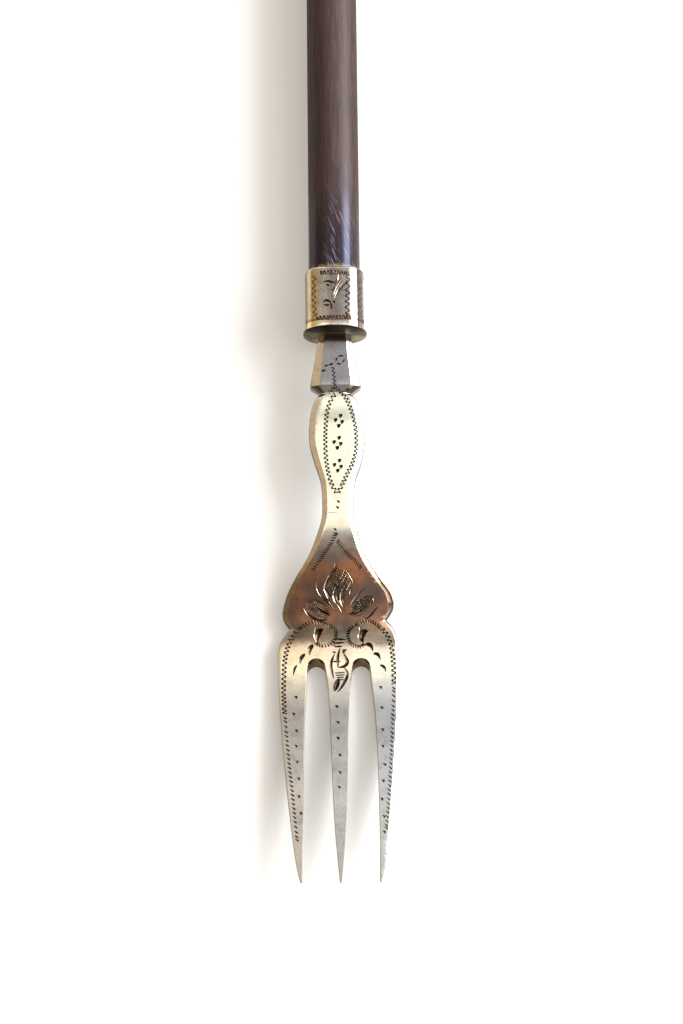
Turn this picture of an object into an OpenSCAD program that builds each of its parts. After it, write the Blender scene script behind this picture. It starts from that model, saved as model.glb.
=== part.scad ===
// Oyster fork with a forged three-tine head, a three-piece ferrule and a turned wooden handle.
// Millimetres. The handle points to +Y and the tines to -Y, and the fork lies on z = 0 on its heel
// and on the rim of the ferrule's front plate.

/* [Handle] */
// Diameter of the straight wooden handle
handle_d = 8.8; // [8:0.1:10]
// Length of the wood that shows beyond the ferrule
handle_len = 105.8; // [80:0.2:130]
// Height of the rounded end of the handle
handle_dome = 1.8; // [0.8:0.1:3]
// Step down from the handle to its tenon, on each side
tenon_step = 0.3; // [0.2:0.05:0.5]

/* [Ferrule] */
// Length of the ferrule tube, from the wood to the ring
tube_len = 9.6; // [8:0.1:14]
// Thickness of the tube at the middle of its four flats
tube_wall = 0.88; // [0.7:0.02:1]
// Width of each of the tube's four flats
tube_flat = 3.2; // [2:0.1:4]
// Rounded shoulder of the tube at the wood
mouth_round = 0.55; // [0.3:0.05:0.58]
// Height of the flaring ring between the tube and the plate
ring_h = 1; // [0.7:0.05:1.6]
// How far the plate stands out beyond the tube
rim_out = 0.44; // [0.3:0.01:0.8]
// Width of the plate's four faint flats
rim_flat = 1.2; // [0.6:0.1:2]
// Thickness of the front plate
plate_t = 0.4; // [0.3:0.05:0.8]

/* [Tang and filling] */
// Diameter of the round tang
tang_d = 3; // [2.4:0.1:3.6]
// Length of the tang, from the face of the front plate
tang_len = 34; // [26:1:44]
// Length of the tapered point of the tang
tang_point = 5; // [3:0.5:8]
// Diameter of the tang at its end
tang_end_d = 1.6; // [1:0.1:2.2]
// Diameter of the bore in the handle
bore_d = 4.4; // [4:0.1:5.4]
// Depth of the bore beyond the end of the tang
bore_spare = 1.5; // [0.5:0.1:3]
// Space between the tenon and the ring, filled with cement
tenon_gap = 0.2; // [0.1:0.05:0.6]

/* [Head lengths] */
// Faceted neck, from the plate to its widest place
neck_len = 9.5; // [8:0.1:12]
// Pointed end of the neck's front, where its bevels widen
nose_len = 1.5; // [1:0.1:2.5]
// Undercut that falls from the neck to the top of the oval
groove_len = 0.9; // [0.5:0.1:1.2]
// Oval, from its top to the narrowest place of the stem
oval_len = 19.4; // [16:0.1:24]
// Shield, from the narrowest place of the stem to its greatest width
shield_len = 16.4; // [13:0.1:20]
// From the greatest width of the shield to the notch
lobe_len = 2.9; // [2:0.1:4]
// From the notch to the greatest width of the blade
shoulder_len = 4.8; // [4:0.1:6]
// From the greatest width of the blade to the points of the tines
reach_len = 37.3; // [30:0.1:46]

/* [Head widths] */
// Neck at the plate
neck_root_w = 5.3; // [5:0.1:6.4]
// Neck at its wide end
neck_w = 8.6; // [7.4:0.1:9.6]
// Groove between the neck and the oval
groove_w = 5.2; // [4.6:0.1:7]
// Oval
oval_w = 9.3; // [8:0.1:11]
// Narrowest place of the stem
waist_w = 5.2; // [4.4:0.1:6.4]
// Shield
shield_w = 18.6; // [16:0.1:19.6]
// Between the two notches
notch_w = 16; // [14:0.1:16.4]
// Blade
blade_w = 20; // [18:0.1:22]
// From point to point of the outer tines
tip_span = 13; // [11:0.1:15]
// Width of each point
tip_w = 0.3; // [0.2:0.05:0.6]

/* [Head thickness and heights] */
// Neck at the plate
neck_root_t = 3.2; // [2.8:0.1:4.2]
// Neck at its wide end
neck_t = 5; // [4:0.1:6]
// Oval
oval_t = 3.2; // [2.6:0.1:3.8]
// Narrowest place of the stem
waist_t = 2.8; // [2.2:0.1:3.4]
// Shield
shield_t = 2.5; // [2:0.1:3]
// Blade at the heel
blade_t = 2.4; // [2:0.1:3]
// Points of the tines
tip_t = 0.7; // [0.5:0.05:1]
// Height of the oval above the axis of the handle
oval_lift = 0.15; // [0:0.05:0.5]
// Height of the middle of each point above the table
tip_h = 4.8; // [3:0.1:7]
// Depth of the flat that use has worn on the heel
heel_wear = 0.1; // [0.05:0.01:0.2]

/* [Bevelled edges] */
// Bevel on the front of the neck
neck_bevel = 1.4; // [0.8:0.05:1.8]
// The same bevel at the pointed end of the neck
nose_bevel = 2.8; // [1.8:0.1:3.2]
// Bevel on the front of the oval
oval_bevel = 1.05; // [0.6:0.05:1.4]
// Bevel on the front of the stem
waist_bevel = 0.85; // [0.5:0.05:1.2]
// Bevel on the front of the shield
shield_bevel = 0.9; // [0.5:0.05:1.2]
// Bevel on the front of the blade
blade_bevel = 0.35; // [0.2:0.05:0.6]
// Bevel at the points of the tines
tip_bevel = 0.12; // [0.08:0.01:0.14]

/* [Gaps between the tines] */
// From the middle of the blade to the middle of each arch
arch_x = 3.72; // [3.4:0.02:4.2]
// Radius of each arch
arch_r = 1.5; // [1.2:0.05:1.7]
// From the greatest width of the blade to the top of each arch, on the front
arch_set = 0.85; // [0:0.05:3]
// How much further on each arch stands on the back, as its end is filed at a slant
arch_slant = 1.1; // [0.4:0.1:1.6]

/* [Hidden] */
$fn = 96;
overrun = 1;
fit_gap = 0.03;
dome_steps = 10;
round_steps = 6;
corner_steps = 10;

silver = "gainsboro";
wood = "#3a2c27";
pitch = "#6b5a3a";

head_len = neck_len + groove_len + oval_len + shield_len + lobe_len + shoulder_len + reach_len;
ferrule_len = plate_t + ring_h + tube_len;
total_len = head_len + ferrule_len + handle_len;

tenon_d = handle_d - 2 * tenon_step;
tube_bore = tenon_d + 2 * fit_gap;
tube_r = tube_bore / 2 + tube_wall;
rim_r = tube_r + rim_out;
axis_z = rim_r;

tip_y = -total_len / 2;
face_y = tip_y + head_len;
mouth_y = face_y + ferrule_len;

tenon_len = tube_len - tenon_gap;
bore_len = tang_len - ferrule_len + bore_spare;

// Distances along the head, from the face of the plate towards the points
neck_s = neck_len;
oval_s = neck_s + groove_len;
waist_s = oval_s + oval_len;
lobe_s = waist_s + shield_len;
notch_s = lobe_s + lobe_len;
blade_s = notch_s + shoulder_len;
tip_s = blade_s + reach_len;
arch_s = blade_s + arch_set + arch_r;
back_arch_s = arch_s + arch_slant;

// Heights of the middle of the metal
oval_z = axis_z + oval_lift;
heel_z = blade_t / 2 - heel_wear;

// Shape tables. In each row: the share of the stretch's length, then the shares of the way from the
// narrow to the wide place, from the high to the low one, and from the first thickness and bevel to
// the next.
oval_shares = [
    [0.00, 0.00, 0.00, 0.00, 0.20],
    [0.05, 0.40, 0.00, 0.05, 0.50],
    [0.14, 0.72, 0.01, 0.10, 0.90],
    [0.26, 0.92, 0.01, 0.20, 1.00],
    [0.43, 1.00, 0.02, 0.40, 1.00],
    [0.61, 0.66, 0.03, 0.65, 0.80],
    [0.76, 0.20, 0.04, 0.85, 0.30],
    [0.87, 0.04, 0.04, 0.95, 0.10],
    [1.00, 0.00, 0.05, 1.00, 0.00]
];
shield_shares = [
    [0.00, 0.000, 0.05, 0.00, 0.0],
    [0.10, 0.010, 0.06, 0.10, 0.1],
    [0.28, 0.125, 0.11, 0.35, 0.4],
    [0.46, 0.285, 0.25, 0.60, 0.8],
    [0.57, 0.430, 0.38, 0.75, 1.0],
    [0.73, 0.690, 0.59, 0.90, 1.0],
    [0.88, 0.910, 0.76, 1.00, 1.0],
    [1.00, 1.000, 0.85, 1.00, 1.0]
];
lobe_shares = [
    [0.0, 1.00, 0.85, 0.0, 1.0],
    [0.4, 0.90, 0.89, 0.3, 0.9],
    [0.8, 0.38, 0.93, 0.7, 0.7],
    [1.0, 0.00, 0.95, 1.0, 0.5]
];
shoulder_shares = [
    [0.00, 0.00, 0.950, 0, 0.5],
    [0.16, 0.36, 0.970, 0, 0.4],
    [0.38, 0.72, 0.990, 0, 0.2],
    [0.70, 0.95, 1.000, 0, 0.0],
    [1.00, 1.00, 1.000, 0, 0.0]
];
reach_shares = [
    [0.000, 0.00, 0.000, 0.00, 0.0],
    [0.080, 0.01, 0.005, 0.05, 0.1],
    [0.200, 0.04, 0.070, 0.17, 0.3],
    [0.400, 0.18, 0.260, 0.36, 0.5],
    [0.650, 0.43, 0.550, 0.60, 0.7],
    [0.860, 0.70, 0.820, 0.84, 0.9],
    [0.950, 0.86, 0.935, 0.95, 1.0],
    [1.000, 1.00, 1.000, 1.00, 1.0]
];
// Edges of the gaps: the share of the tine's length, then the share of the way to the point
outer_edge_shares = [[0, 0], [0.11, 0.28], [0.25, 0.60], [0.62, 0.86], [0.85, 1.0], [1, 1]];
centre_edge_shares = [[0, 0], [0.08, 0.2], [0.25, 0.34], [0.62, 0.53], [0.8, 0.7], [0.92, 0.87], [1, 1]];
// Depth of a bevel as a share of its width, and the bevel on the back as a share of the thickness
bevel_depth_share = 0.75;
back_bevel_share = 0.18;
// Steps in which each stretch of the head is drawn
oval_steps = 16;
shield_steps = 18;
lobe_steps = 6;
shoulder_steps = 7;
reach_steps = 20;
edge_steps = 16;
arch_steps = 20;

// Smooth curve through the rows of a table: value of one column at a place
function row_at(rows, s, i = 0) = i >= len(rows) - 2 || s <= rows[i + 1][0] ? i : row_at(rows, s, i + 1);
function row_slope(rows, i, column) =
    let (before = rows[max(i - 1, 0)], after = rows[min(i + 1, len(rows) - 1)])
    (after[column] - before[column]) / (after[0] - before[0]);
function smooth(rows, s, column) =
    let (
        i = row_at(rows, s),
        gap = rows[i + 1][0] - rows[i][0],
        u = (s - rows[i][0]) / gap
    )
    rows[i][column] * (2 * u * u * u - 3 * u * u + 1)
    + rows[i + 1][column] * (3 * u * u - 2 * u * u * u)
    + row_slope(rows, i, column) * gap * (u * u * u - 2 * u * u + u)
    + row_slope(rows, i + 1, column) * gap * (u * u * u - u * u);
function blend(from, to, share) = from + (to - from) * share;

// One station of the head: [distance, half width, height of the middle, thickness, bevel]
function stretch(rows, steps, start, length, widths, heights, thicknesses, bevels) = [
    for (i = [1:steps])
        let (u = i / steps)
        [
            start + length * u,
            blend(widths[0], widths[1], smooth(rows, u, 1)) / 2,
            blend(heights[0], heights[1], smooth(rows, u, 2)),
            blend(thicknesses[0], thicknesses[1], smooth(rows, u, 3)),
            blend(bevels[0], bevels[1], smooth(rows, u, 4))
        ]
];
stations = concat(
    [
        [0, neck_root_w / 2, axis_z, neck_root_t, neck_bevel],
        [
            neck_s - nose_len,
            blend(neck_w, neck_root_w, nose_len / neck_s) / 2,
            axis_z,
            blend(neck_t, neck_root_t, nose_len / neck_s),
            neck_bevel
        ],
        [neck_s, neck_w / 2, axis_z, neck_t, nose_bevel],
        [oval_s, groove_w / 2, oval_z, oval_t, oval_bevel]
    ],
    stretch(oval_shares, oval_steps, oval_s, oval_len, [waist_w, oval_w], [oval_z, heel_z],
        [oval_t, waist_t], [waist_bevel, oval_bevel]),
    stretch(shield_shares, shield_steps, waist_s, shield_len, [waist_w, shield_w], [oval_z, heel_z],
        [waist_t, shield_t], [waist_bevel, shield_bevel]),
    stretch(lobe_shares, lobe_steps, lobe_s, lobe_len, [notch_w, shield_w], [oval_z, heel_z],
        [shield_t, blade_t], [blade_bevel, shield_bevel]),
    stretch(shoulder_shares, shoulder_steps, notch_s, shoulder_len, [notch_w, blade_w],
        [oval_z, heel_z], [blade_t, blade_t], [blade_bevel, shield_bevel]),
    stretch(reach_shares, reach_steps, blade_s, reach_len, [blade_w, tip_span], [heel_z, tip_h],
        [blade_t, tip_t], [blade_bevel, tip_bevel])
);

// Section of the head at a station: flat front, bevelled edges, upright sides and a flat back
function section(st) =
    let (
        y = face_y - st[0],
        w = st[1],
        top = st[2] + st[3] / 2,
        low = st[2] - st[3] / 2,
        bevel = st[4],
        depth = bevel * bevel_depth_share,
        back = st[3] * back_bevel_share
    )
    [
        [bevel - w, y, top],
        [w - bevel, y, top],
        [w, y, top - depth],
        [w, y, low + back],
        [w - back, y, low],
        [back - w, y, low],
        [-w, y, low + back],
        [-w, y, top - depth]
    ];

// One closed skin over a row of sections that have the same number of points
module skin(rings) {
    sides = len(rings[0]);
    last = len(rings) - 1;
    wall = [
        for (i = [0:last - 1], j = [0:sides - 1])
            let (a = i * sides + j, b = i * sides + (j + 1) % sides)
            each [[a, b, b + sides], [a, b + sides, a + sides]]
    ];
    first_end = [for (j = [0:sides - 1]) sides - 1 - j];
    last_end = [for (j = [0:sides - 1]) last * sides + j];
    polyhedron([for (ring = rings) each ring], concat(wall, [first_end, last_end]));
}

// Outline of the gap on the +X side of the centre tine at one height. The round end stands further
// towards the tips the lower it is.
function gap_outline(z) =
    let (
        end_s = back_arch_s - arch_slant * z / blade_t,
        arch_y = face_y - end_s,
        tine_s = tip_s - end_s,
        outer_x = [arch_x + arch_r, tip_span / 2 - tip_w],
        centre_x = [arch_x - arch_r, tip_w / 2]
    )
    concat(
        [
            for (i = [0:edge_steps])
                let (u = i / edge_steps)
                [blend(outer_x[0], outer_x[1], smooth(outer_edge_shares, u, 1)), arch_y - tine_s * u, z]
        ],
        [[outer_x[1], tip_y - overrun, z], [centre_x[1], tip_y - overrun, z]],
        [
            for (i = [edge_steps:-1:0])
                let (u = i / edge_steps)
                [blend(centre_x[0], centre_x[1], smooth(centre_edge_shares, u, 1)), arch_y - tine_s * u, z]
        ],
        [
            for (i = [1:arch_steps - 1])
                let (a = 180 - 180 * i / arch_steps)
                [arch_x + arch_r * cos(a), arch_y + arch_r * sin(a), z]
        ]
    );

// The tang, from the face of the plate
module tang() {
    shank = tang_len - tang_point;
    translate([0, face_y, axis_z])
        rotate([-90, 0, 0]) {
            cylinder(d = tang_d, h = shank);
            translate([0, 0, shank])
                cylinder(d1 = tang_d, d2 = tang_end_d, h = tang_point);
        }
}

module fork_head() color(silver) {
    difference() {
        skin([for (st = stations) section(st)]);
        for (side = [0, 1])
            mirror([side, 0, 0])
                skin([gap_outline(-overrun), gap_outline(axis_z + overrun)]);
        translate([-blade_w, face_y - tip_s - overrun, -blade_t])
            cube([2 * blade_w, tip_s, blade_t]);
    }
    tang();
}

// Turns a profile of [radius, distance from the face of the plate] round the axis of the handle
module turned(profile) {
    translate([0, face_y, axis_z])
        rotate([-90, 0, 0])
            rotate_extrude()
                polygon(profile);
}

// A square with round corners, laid round the axis: half its width, the width of its flats, and the
// distance from the face of the plate
function squared(half, flat, distance) = [
    for (q = [0:3], i = [0:corner_steps])
        let (
            a = 90 * (q + i / corner_steps),
            right = q == 0 || q == 3 ? 1 : -1,
            up = q < 2 ? 1 : -1,
            round_r = half - flat / 2
        )
        [right * flat / 2 + round_r * cos(a), face_y + distance, axis_z + up * flat / 2 + round_r * sin(a)]
];

// Front plate: a thin disc, a little squared like the tube behind it, with the hole for the tang
module ferrule_plate() color(silver) {
    difference() {
        skin([squared(rim_r, rim_flat, 0), squared(rim_r, rim_flat, plate_t)]);
        turned([[0, -overrun], [tang_d / 2, -overrun], [tang_d / 2, plate_t + overrun], [0, plate_t + overrun]]);
    }
}

// Ring that flares in a hollow curve from the tube to the rim of the plate
module ferrule_ring() color(silver) {
    start = plate_t;
    difference() {
        skin([
            for (i = [0:round_steps])
                let (a = 90 * i / round_steps, u = 1 - cos(a))
                squared(
                    blend(tube_r, rim_r, 1 - sin(a)),
                    blend(tube_flat, rim_flat, 1 - sin(a)),
                    start + ring_h * u
                )
        ]);
        turned([[0, start - overrun], [tube_bore / 2, start - overrun],
            [tube_bore / 2, start + ring_h + overrun], [0, start + ring_h + overrun]]);
    }
}

// Tube with four soft flats, which rounds over at the wood
module ferrule_tube() color(silver) {
    start = plate_t + ring_h;
    body = tube_len - mouth_round;
    difference() {
        skin(concat(
            [squared(tube_r, tube_flat, start)],
            [
                for (i = [0:round_steps])
                    let (a = 90 * i / round_steps)
                    squared(tube_r - mouth_round * (1 - cos(a)), tube_flat,
                        start + body + mouth_round * sin(a))
            ]
        ));
        turned([[0, start - overrun], [tube_bore / 2, start - overrun],
            [tube_bore / 2, start + tube_len + overrun], [0, start + tube_len + overrun]]);
    }
}

// Cement that holds the tang: a disc behind the plate and a column in the bore
module cement() color(pitch) {
    difference() {
        union() {
            turned([
                [0, plate_t],
                [tube_bore / 2, plate_t],
                [tube_bore / 2, plate_t + ring_h + tenon_gap],
                [0, plate_t + ring_h + tenon_gap]
            ]);
            turned([
                [0, plate_t],
                [bore_d / 2, plate_t],
                [bore_d / 2, ferrule_len + bore_len],
                [0, ferrule_len + bore_len]
            ]);
        }
        tang();
    }
}

// Wooden handle: tenon with a blind bore, shoulder, straight grip and rounded end
module handle() color(wood) {
    end = ferrule_len + handle_len;
    dome = [
        for (i = [0:dome_steps])
            let (a = 90 * i / dome_steps)
            [handle_d / 2 * cos(a), end - handle_dome * (1 - sin(a))]
    ];
    turned(concat(
        [
            [0, ferrule_len + bore_len],
            [bore_d / 2, ferrule_len + bore_len],
            [bore_d / 2, ferrule_len - tenon_len],
            [tenon_d / 2, ferrule_len - tenon_len],
            [tenon_d / 2, ferrule_len],
            [handle_d / 2, ferrule_len]
        ],
        dome
    ));
}

fork_head();
ferrule_plate();
ferrule_ring();
ferrule_tube();
cement();
handle();
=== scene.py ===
"""Looks of the oyster fork: forged and engraved silver-plated head, built-up ferrule, dark wood handle.

Shapes are worked out in millimetres and turned to metres when a piece is finished.
"""

import math

import bmesh
import bpy
from mathutils import Matrix, Vector
from mathutils.bvhtree import BVHTree


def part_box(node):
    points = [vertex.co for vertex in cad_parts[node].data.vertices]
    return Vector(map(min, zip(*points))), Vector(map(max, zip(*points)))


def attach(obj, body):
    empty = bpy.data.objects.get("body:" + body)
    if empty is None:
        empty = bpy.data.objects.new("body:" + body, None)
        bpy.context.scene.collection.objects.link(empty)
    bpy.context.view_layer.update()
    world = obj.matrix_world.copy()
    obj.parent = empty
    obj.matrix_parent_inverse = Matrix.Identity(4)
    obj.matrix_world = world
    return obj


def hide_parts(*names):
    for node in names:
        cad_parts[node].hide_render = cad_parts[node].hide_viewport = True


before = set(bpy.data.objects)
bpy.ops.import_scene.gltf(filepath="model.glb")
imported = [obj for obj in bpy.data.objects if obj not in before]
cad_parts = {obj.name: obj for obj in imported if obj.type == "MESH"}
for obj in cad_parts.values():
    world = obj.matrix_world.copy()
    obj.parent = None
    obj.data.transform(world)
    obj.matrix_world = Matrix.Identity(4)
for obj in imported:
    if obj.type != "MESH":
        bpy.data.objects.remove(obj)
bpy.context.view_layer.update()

MM = 0.001

# Photograph's frame in pixels, and the camera fitted to it: place in millimetres, turns in degrees
PHOTO_W = 683
PHOTO_H = 1024
CAMERA_PLACE = (0.76, -105.85, 299.4)
CAMERA_TILT = 12.0
CAMERA_ROLL = -0.65
LENS = 63.28
SENSOR = 36.0

# Head, in millimetres: the forged sizes
NECK_LEN = 9.5
NOSE_SET = 0.45
NOSE_LEN = 1.3
GROOVE_LEN = 0.9
GROOVE_RISE = 0.25
OVAL_LEN = 19.4
SHIELD_LEN = 16.4
LOBE_LEN = 2.9
SHOULDER_LEN = 4.8
REACH_LEN = 37.3

NECK_ROOT_W = 5.3
NECK_W = 8.6
GROOVE_W = 5.2
OVAL_W = 9.3
WAIST_W = 5.2
SHIELD_W = 18.6
NOTCH_W = 16.0
BLADE_W = 20.0
TIP_SPAN = 13.0
TIP_W = 0.3

NECK_ROOT_T = 3.2
NECK_T = 5.0
NOSE_T = 3.5
OVAL_T = 3.2
WAIST_T = 2.8
SHIELD_T = 2.5
BLADE_T = 2.4
TIP_T = 0.7
OVAL_LIFT = 0.15
NECK_FALL = 0.18
TIP_H = 4.8
HEEL_WEAR = 0.1

NECK_ROOT_BEVEL = 0.9
NECK_BEVEL = 1.65
NOSE_BEVEL = 1.4
OVAL_BEVEL = 1.05
WAIST_BEVEL = 0.85
SHIELD_BEVEL = 0.9
BLADE_BEVEL = 0.35
TIP_BEVEL = 0.12

ARCH_X = 3.72
ARCH_R = 1.5
ARCH_SET = 0.85
ARCH_SLANT = 1.1

# Ferrule, tang and handle, in millimetres
TUBE_FLAT = 3.2
RIM_FLAT = 1.2
RIM_ROUND = 1.5
RIM_DEPTH = 0.38
MOUTH_ROUND = 0.55
TANG_D = 3.0
TANG_ROOT = 1.0
TANG_STEPS = 48
TUBE_BORE = 8.26
BORE_REACH = 60.0
TENON_D = 8.2
HANDLE_BORE = 4.4
HANDLE_BORE_END = 22.7
DOME = 1.8

# Ferrule and handle, from the frame
plate_low, plate_high = (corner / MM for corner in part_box("ferrule_plate"))
ring_low, ring_high = (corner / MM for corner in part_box("ferrule_ring"))
tube_low, tube_high = (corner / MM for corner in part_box("ferrule_tube"))
wood_low, wood_high = (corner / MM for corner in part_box("handle"))
head_low, head_high = (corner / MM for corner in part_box("fork_head"))

FACE_Y = plate_low.y
RIM_R = plate_high.x
TUBE_R = tube_high.x
HANDLE_R = wood_high.x
AXIS_Z = RIM_R
TIP_Y = head_low.y

OVAL_S = NECK_LEN + GROOVE_LEN
WAIST_S = OVAL_S + OVAL_LEN
LOBE_S = WAIST_S + SHIELD_LEN
NOTCH_S = LOBE_S + LOBE_LEN
BLADE_S = NOTCH_S + SHOULDER_LEN
TIP_S = BLADE_S + REACH_LEN
BACK_ARCH_S = BLADE_S + ARCH_SET + ARCH_R + ARCH_SLANT
OVAL_Z = AXIS_Z + OVAL_LIFT
HEEL_Z = BLADE_T / 2 - HEEL_WEAR

# In each row: share of the stretch's length, then shares of the way between the two widths, heights,
# thicknesses and bevels that head_stations names for the stretch
OVAL_SHARES = [
    (0.00, 0.00, 0.00, 0.00, 0.20),
    (0.05, 0.40, 0.00, 0.05, 0.50),
    (0.14, 0.72, 0.01, 0.10, 0.90),
    (0.26, 0.92, 0.01, 0.20, 1.00),
    (0.43, 1.00, 0.02, 0.40, 1.00),
    (0.61, 0.66, 0.03, 0.65, 0.80),
    (0.76, 0.20, 0.04, 0.85, 0.30),
    (0.87, 0.04, 0.04, 0.95, 0.10),
    (1.00, 0.00, 0.05, 1.00, 0.00),
]
SHIELD_SHARES = [
    (0.00, 0.000, 0.05, 0.00, 0.0),
    (0.10, 0.010, 0.06, 0.10, 0.1),
    (0.28, 0.125, 0.11, 0.35, 0.4),
    (0.46, 0.285, 0.25, 0.60, 0.8),
    (0.57, 0.430, 0.38, 0.75, 1.0),
    (0.73, 0.690, 0.59, 0.90, 1.0),
    (0.88, 0.910, 0.76, 1.00, 1.0),
    (1.00, 1.000, 0.85, 1.00, 1.0),
]
LOBE_SHARES = [
    (0.0, 1.00, 0.85, 0.0, 1.0),
    (0.4, 0.90, 0.89, 0.3, 0.9),
    (0.8, 0.38, 0.93, 0.7, 0.7),
    (1.0, 0.00, 0.95, 1.0, 0.5),
]
SHOULDER_SHARES = [
    (0.00, 0.00, 0.950, 0, 0.5),
    (0.16, 0.36, 0.970, 0, 0.4),
    (0.38, 0.72, 0.990, 0, 0.2),
    (0.70, 0.95, 1.000, 0, 0.0),
    (1.00, 1.00, 1.000, 0, 0.0),
]
REACH_SHARES = [
    (0.000, 0.00, 0.000, 0.00, 0.0),
    (0.080, 0.01, 0.005, 0.05, 0.1),
    (0.200, 0.04, 0.070, 0.17, 0.3),
    (0.400, 0.18, 0.260, 0.36, 0.5),
    (0.650, 0.43, 0.550, 0.60, 0.7),
    (0.860, 0.70, 0.820, 0.84, 0.9),
    (0.950, 0.86, 0.935, 0.95, 1.0),
    (1.000, 1.00, 1.000, 1.00, 1.0),
]
OUTER_EDGE_SHARES = [(0, 0), (0.11, 0.28), (0.25, 0.60), (0.62, 0.86), (0.85, 1.0), (1, 1)]
CENTRE_EDGE_SHARES = [(0, 0), (0.08, 0.2), (0.25, 0.34), (0.62, 0.53), (0.8, 0.7), (0.92, 0.87), (1, 1)]
# Sideways drift of the hand-forged head, in millimetres, by the distance from the plate
DRIFT = [
    (0, 0), (14, 0), (19, 0.13), (22.6, 0.25), (26, 0.2), (33, 0.13), (36, 0), (42, -0.2), (45, 0), (50, 0),
    (95, 0),
]
# Slant of the shoulders across the head, in millimetres along for each one across
SLANT = [(0, 0), (38, 0), (45, 0.07), (50, 0.085), (52.5, 0.03), (54.5, 0), (58, 0), (95, 0)]
BEVEL_DEPTH_SHARE = 0.75
BACK_BEVEL_SHARE = 0.18

# Fineness of the forged skin: step along the head and divisions across its front and back
STEP = 0.32
FRONT_CELLS = 12
BACK_CELLS = 6
# Easing of the lengthwise edges: how far the inner and the outer ones are rounded, from which angle
# on, and how far up the faces beside an outer edge may look
EDGE_EASE = 0.06
OUTER_EASE = 0.16
EASE_ANGLE = math.radians(15)
OUTER_FACE_TILT = 0.9
# Angle from which an edge is shaded sharp
SHARP_ANGLE = math.radians(30)
# Points closer than this become one, and edges shorter than this go
MERGE = 0.002
SHORTEST = 0.001
# Most edges round a pinhole that is closed
PINHOLE_SIDES = 12


def row_slope(rows, i, column):
    """Slope of a column at row i, from the rows beside it."""
    before, after = rows[max(i - 1, 0)], rows[min(i + 1, len(rows) - 1)]
    return (after[column] - before[column]) / (after[0] - before[0])


def smooth(rows, s, column=1):
    """Value of one column of a table at s, on a smooth curve through its rows."""
    i = 0
    while i < len(rows) - 2 and s > rows[i + 1][0]:
        i += 1
    gap = rows[i + 1][0] - rows[i][0]
    u = (s - rows[i][0]) / gap
    return (
        rows[i][column] * (2 * u**3 - 3 * u**2 + 1)
        + rows[i + 1][column] * (3 * u**2 - 2 * u**3)
        + row_slope(rows, i, column) * gap * (u**3 - 2 * u**2 + u)
        + row_slope(rows, i + 1, column) * gap * (u**3 - u**2)
    )


def blend(start, end, share):
    """The value a share of the way from start to end."""
    return start + (end - start) * share


def stretch(rows, start, length, widths, heights, thicknesses, bevels):
    """Stations of one stretch: distance, half width, height of the middle, thickness, bevel."""
    steps = math.ceil(length / STEP)
    for i in range(1, steps + 1):
        u = i / steps
        yield (
            start + length * u,
            blend(*widths, smooth(rows, u, 1)) / 2,
            blend(*heights, smooth(rows, u, 2)),
            blend(*thicknesses, smooth(rows, u, 3)),
            blend(*bevels, smooth(rows, u, 4)),
        )


def head_stations():
    """Stations of the whole head, from the plate to the tips."""
    nose_s = NECK_LEN - NOSE_SET
    groove_s = nose_s + NOSE_LEN
    heights = (OVAL_Z, HEEL_Z)
    return [
        (0, NECK_ROOT_W / 2, AXIS_Z, NECK_ROOT_T, NECK_ROOT_BEVEL),
        *(
            (nose_s * u, blend(NECK_ROOT_W, NECK_W, u) / 2, AXIS_Z - NECK_FALL * u,
             blend(NECK_ROOT_T, NECK_T, u) - 2 * NECK_FALL * u, blend(NECK_ROOT_BEVEL, NECK_BEVEL, u))
            for u in (0.25, 0.5, 0.75, 1)
        ),
        (groove_s, GROOVE_W / 2, AXIS_Z, NOSE_T, NOSE_BEVEL),
        (groove_s + GROOVE_RISE, GROOVE_W / 2, OVAL_Z, OVAL_T, OVAL_BEVEL),
        *(
            row for row in stretch(OVAL_SHARES, OVAL_S, OVAL_LEN, (WAIST_W, OVAL_W), heights,
                                   (OVAL_T, WAIST_T), (WAIST_BEVEL, OVAL_BEVEL))
            if row[0] > groove_s + 2 * GROOVE_RISE
        ),
        *stretch(SHIELD_SHARES, WAIST_S, SHIELD_LEN, (WAIST_W, SHIELD_W), heights,
                 (WAIST_T, SHIELD_T), (WAIST_BEVEL, SHIELD_BEVEL)),
        *stretch(LOBE_SHARES, LOBE_S, LOBE_LEN, (NOTCH_W, SHIELD_W), heights,
                 (SHIELD_T, BLADE_T), (BLADE_BEVEL, SHIELD_BEVEL)),
        *stretch(SHOULDER_SHARES, NOTCH_S, SHOULDER_LEN, (NOTCH_W, BLADE_W), heights,
                 (BLADE_T, BLADE_T), (BLADE_BEVEL, SHIELD_BEVEL)),
        *stretch(REACH_SHARES, BLADE_S, REACH_LEN, (BLADE_W, TIP_SPAN), (HEEL_Z, TIP_H),
                 (BLADE_T, TIP_T), (BLADE_BEVEL, TIP_BEVEL)),
    ]


def section(station):
    """Section of the head: flat front, bevelled edges, upright sides and a flat, chamfered back."""
    s, half, middle, thickness, bevel = station
    top, low = middle + thickness / 2, middle - thickness / 2
    depth, back = bevel * BEVEL_DEPTH_SHARE, thickness * BACK_BEVEL_SHARE
    drift, slant = smooth(DRIFT, s), smooth(SLANT, s)
    front, base = half - bevel, half - back
    corners = [(blend(-front, front, i / FRONT_CELLS), top) for i in range(FRONT_CELLS + 1)]
    corners += [(half, top - depth), (half, low + back)]
    corners += [(blend(base, -base, i / BACK_CELLS), low) for i in range(BACK_CELLS + 1)]
    corners += [(-half, low + back), (-half, top - depth)]
    return [Vector((x + drift, FACE_Y - s + slant * x, max(z, 0))) for x, z in corners]


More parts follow.
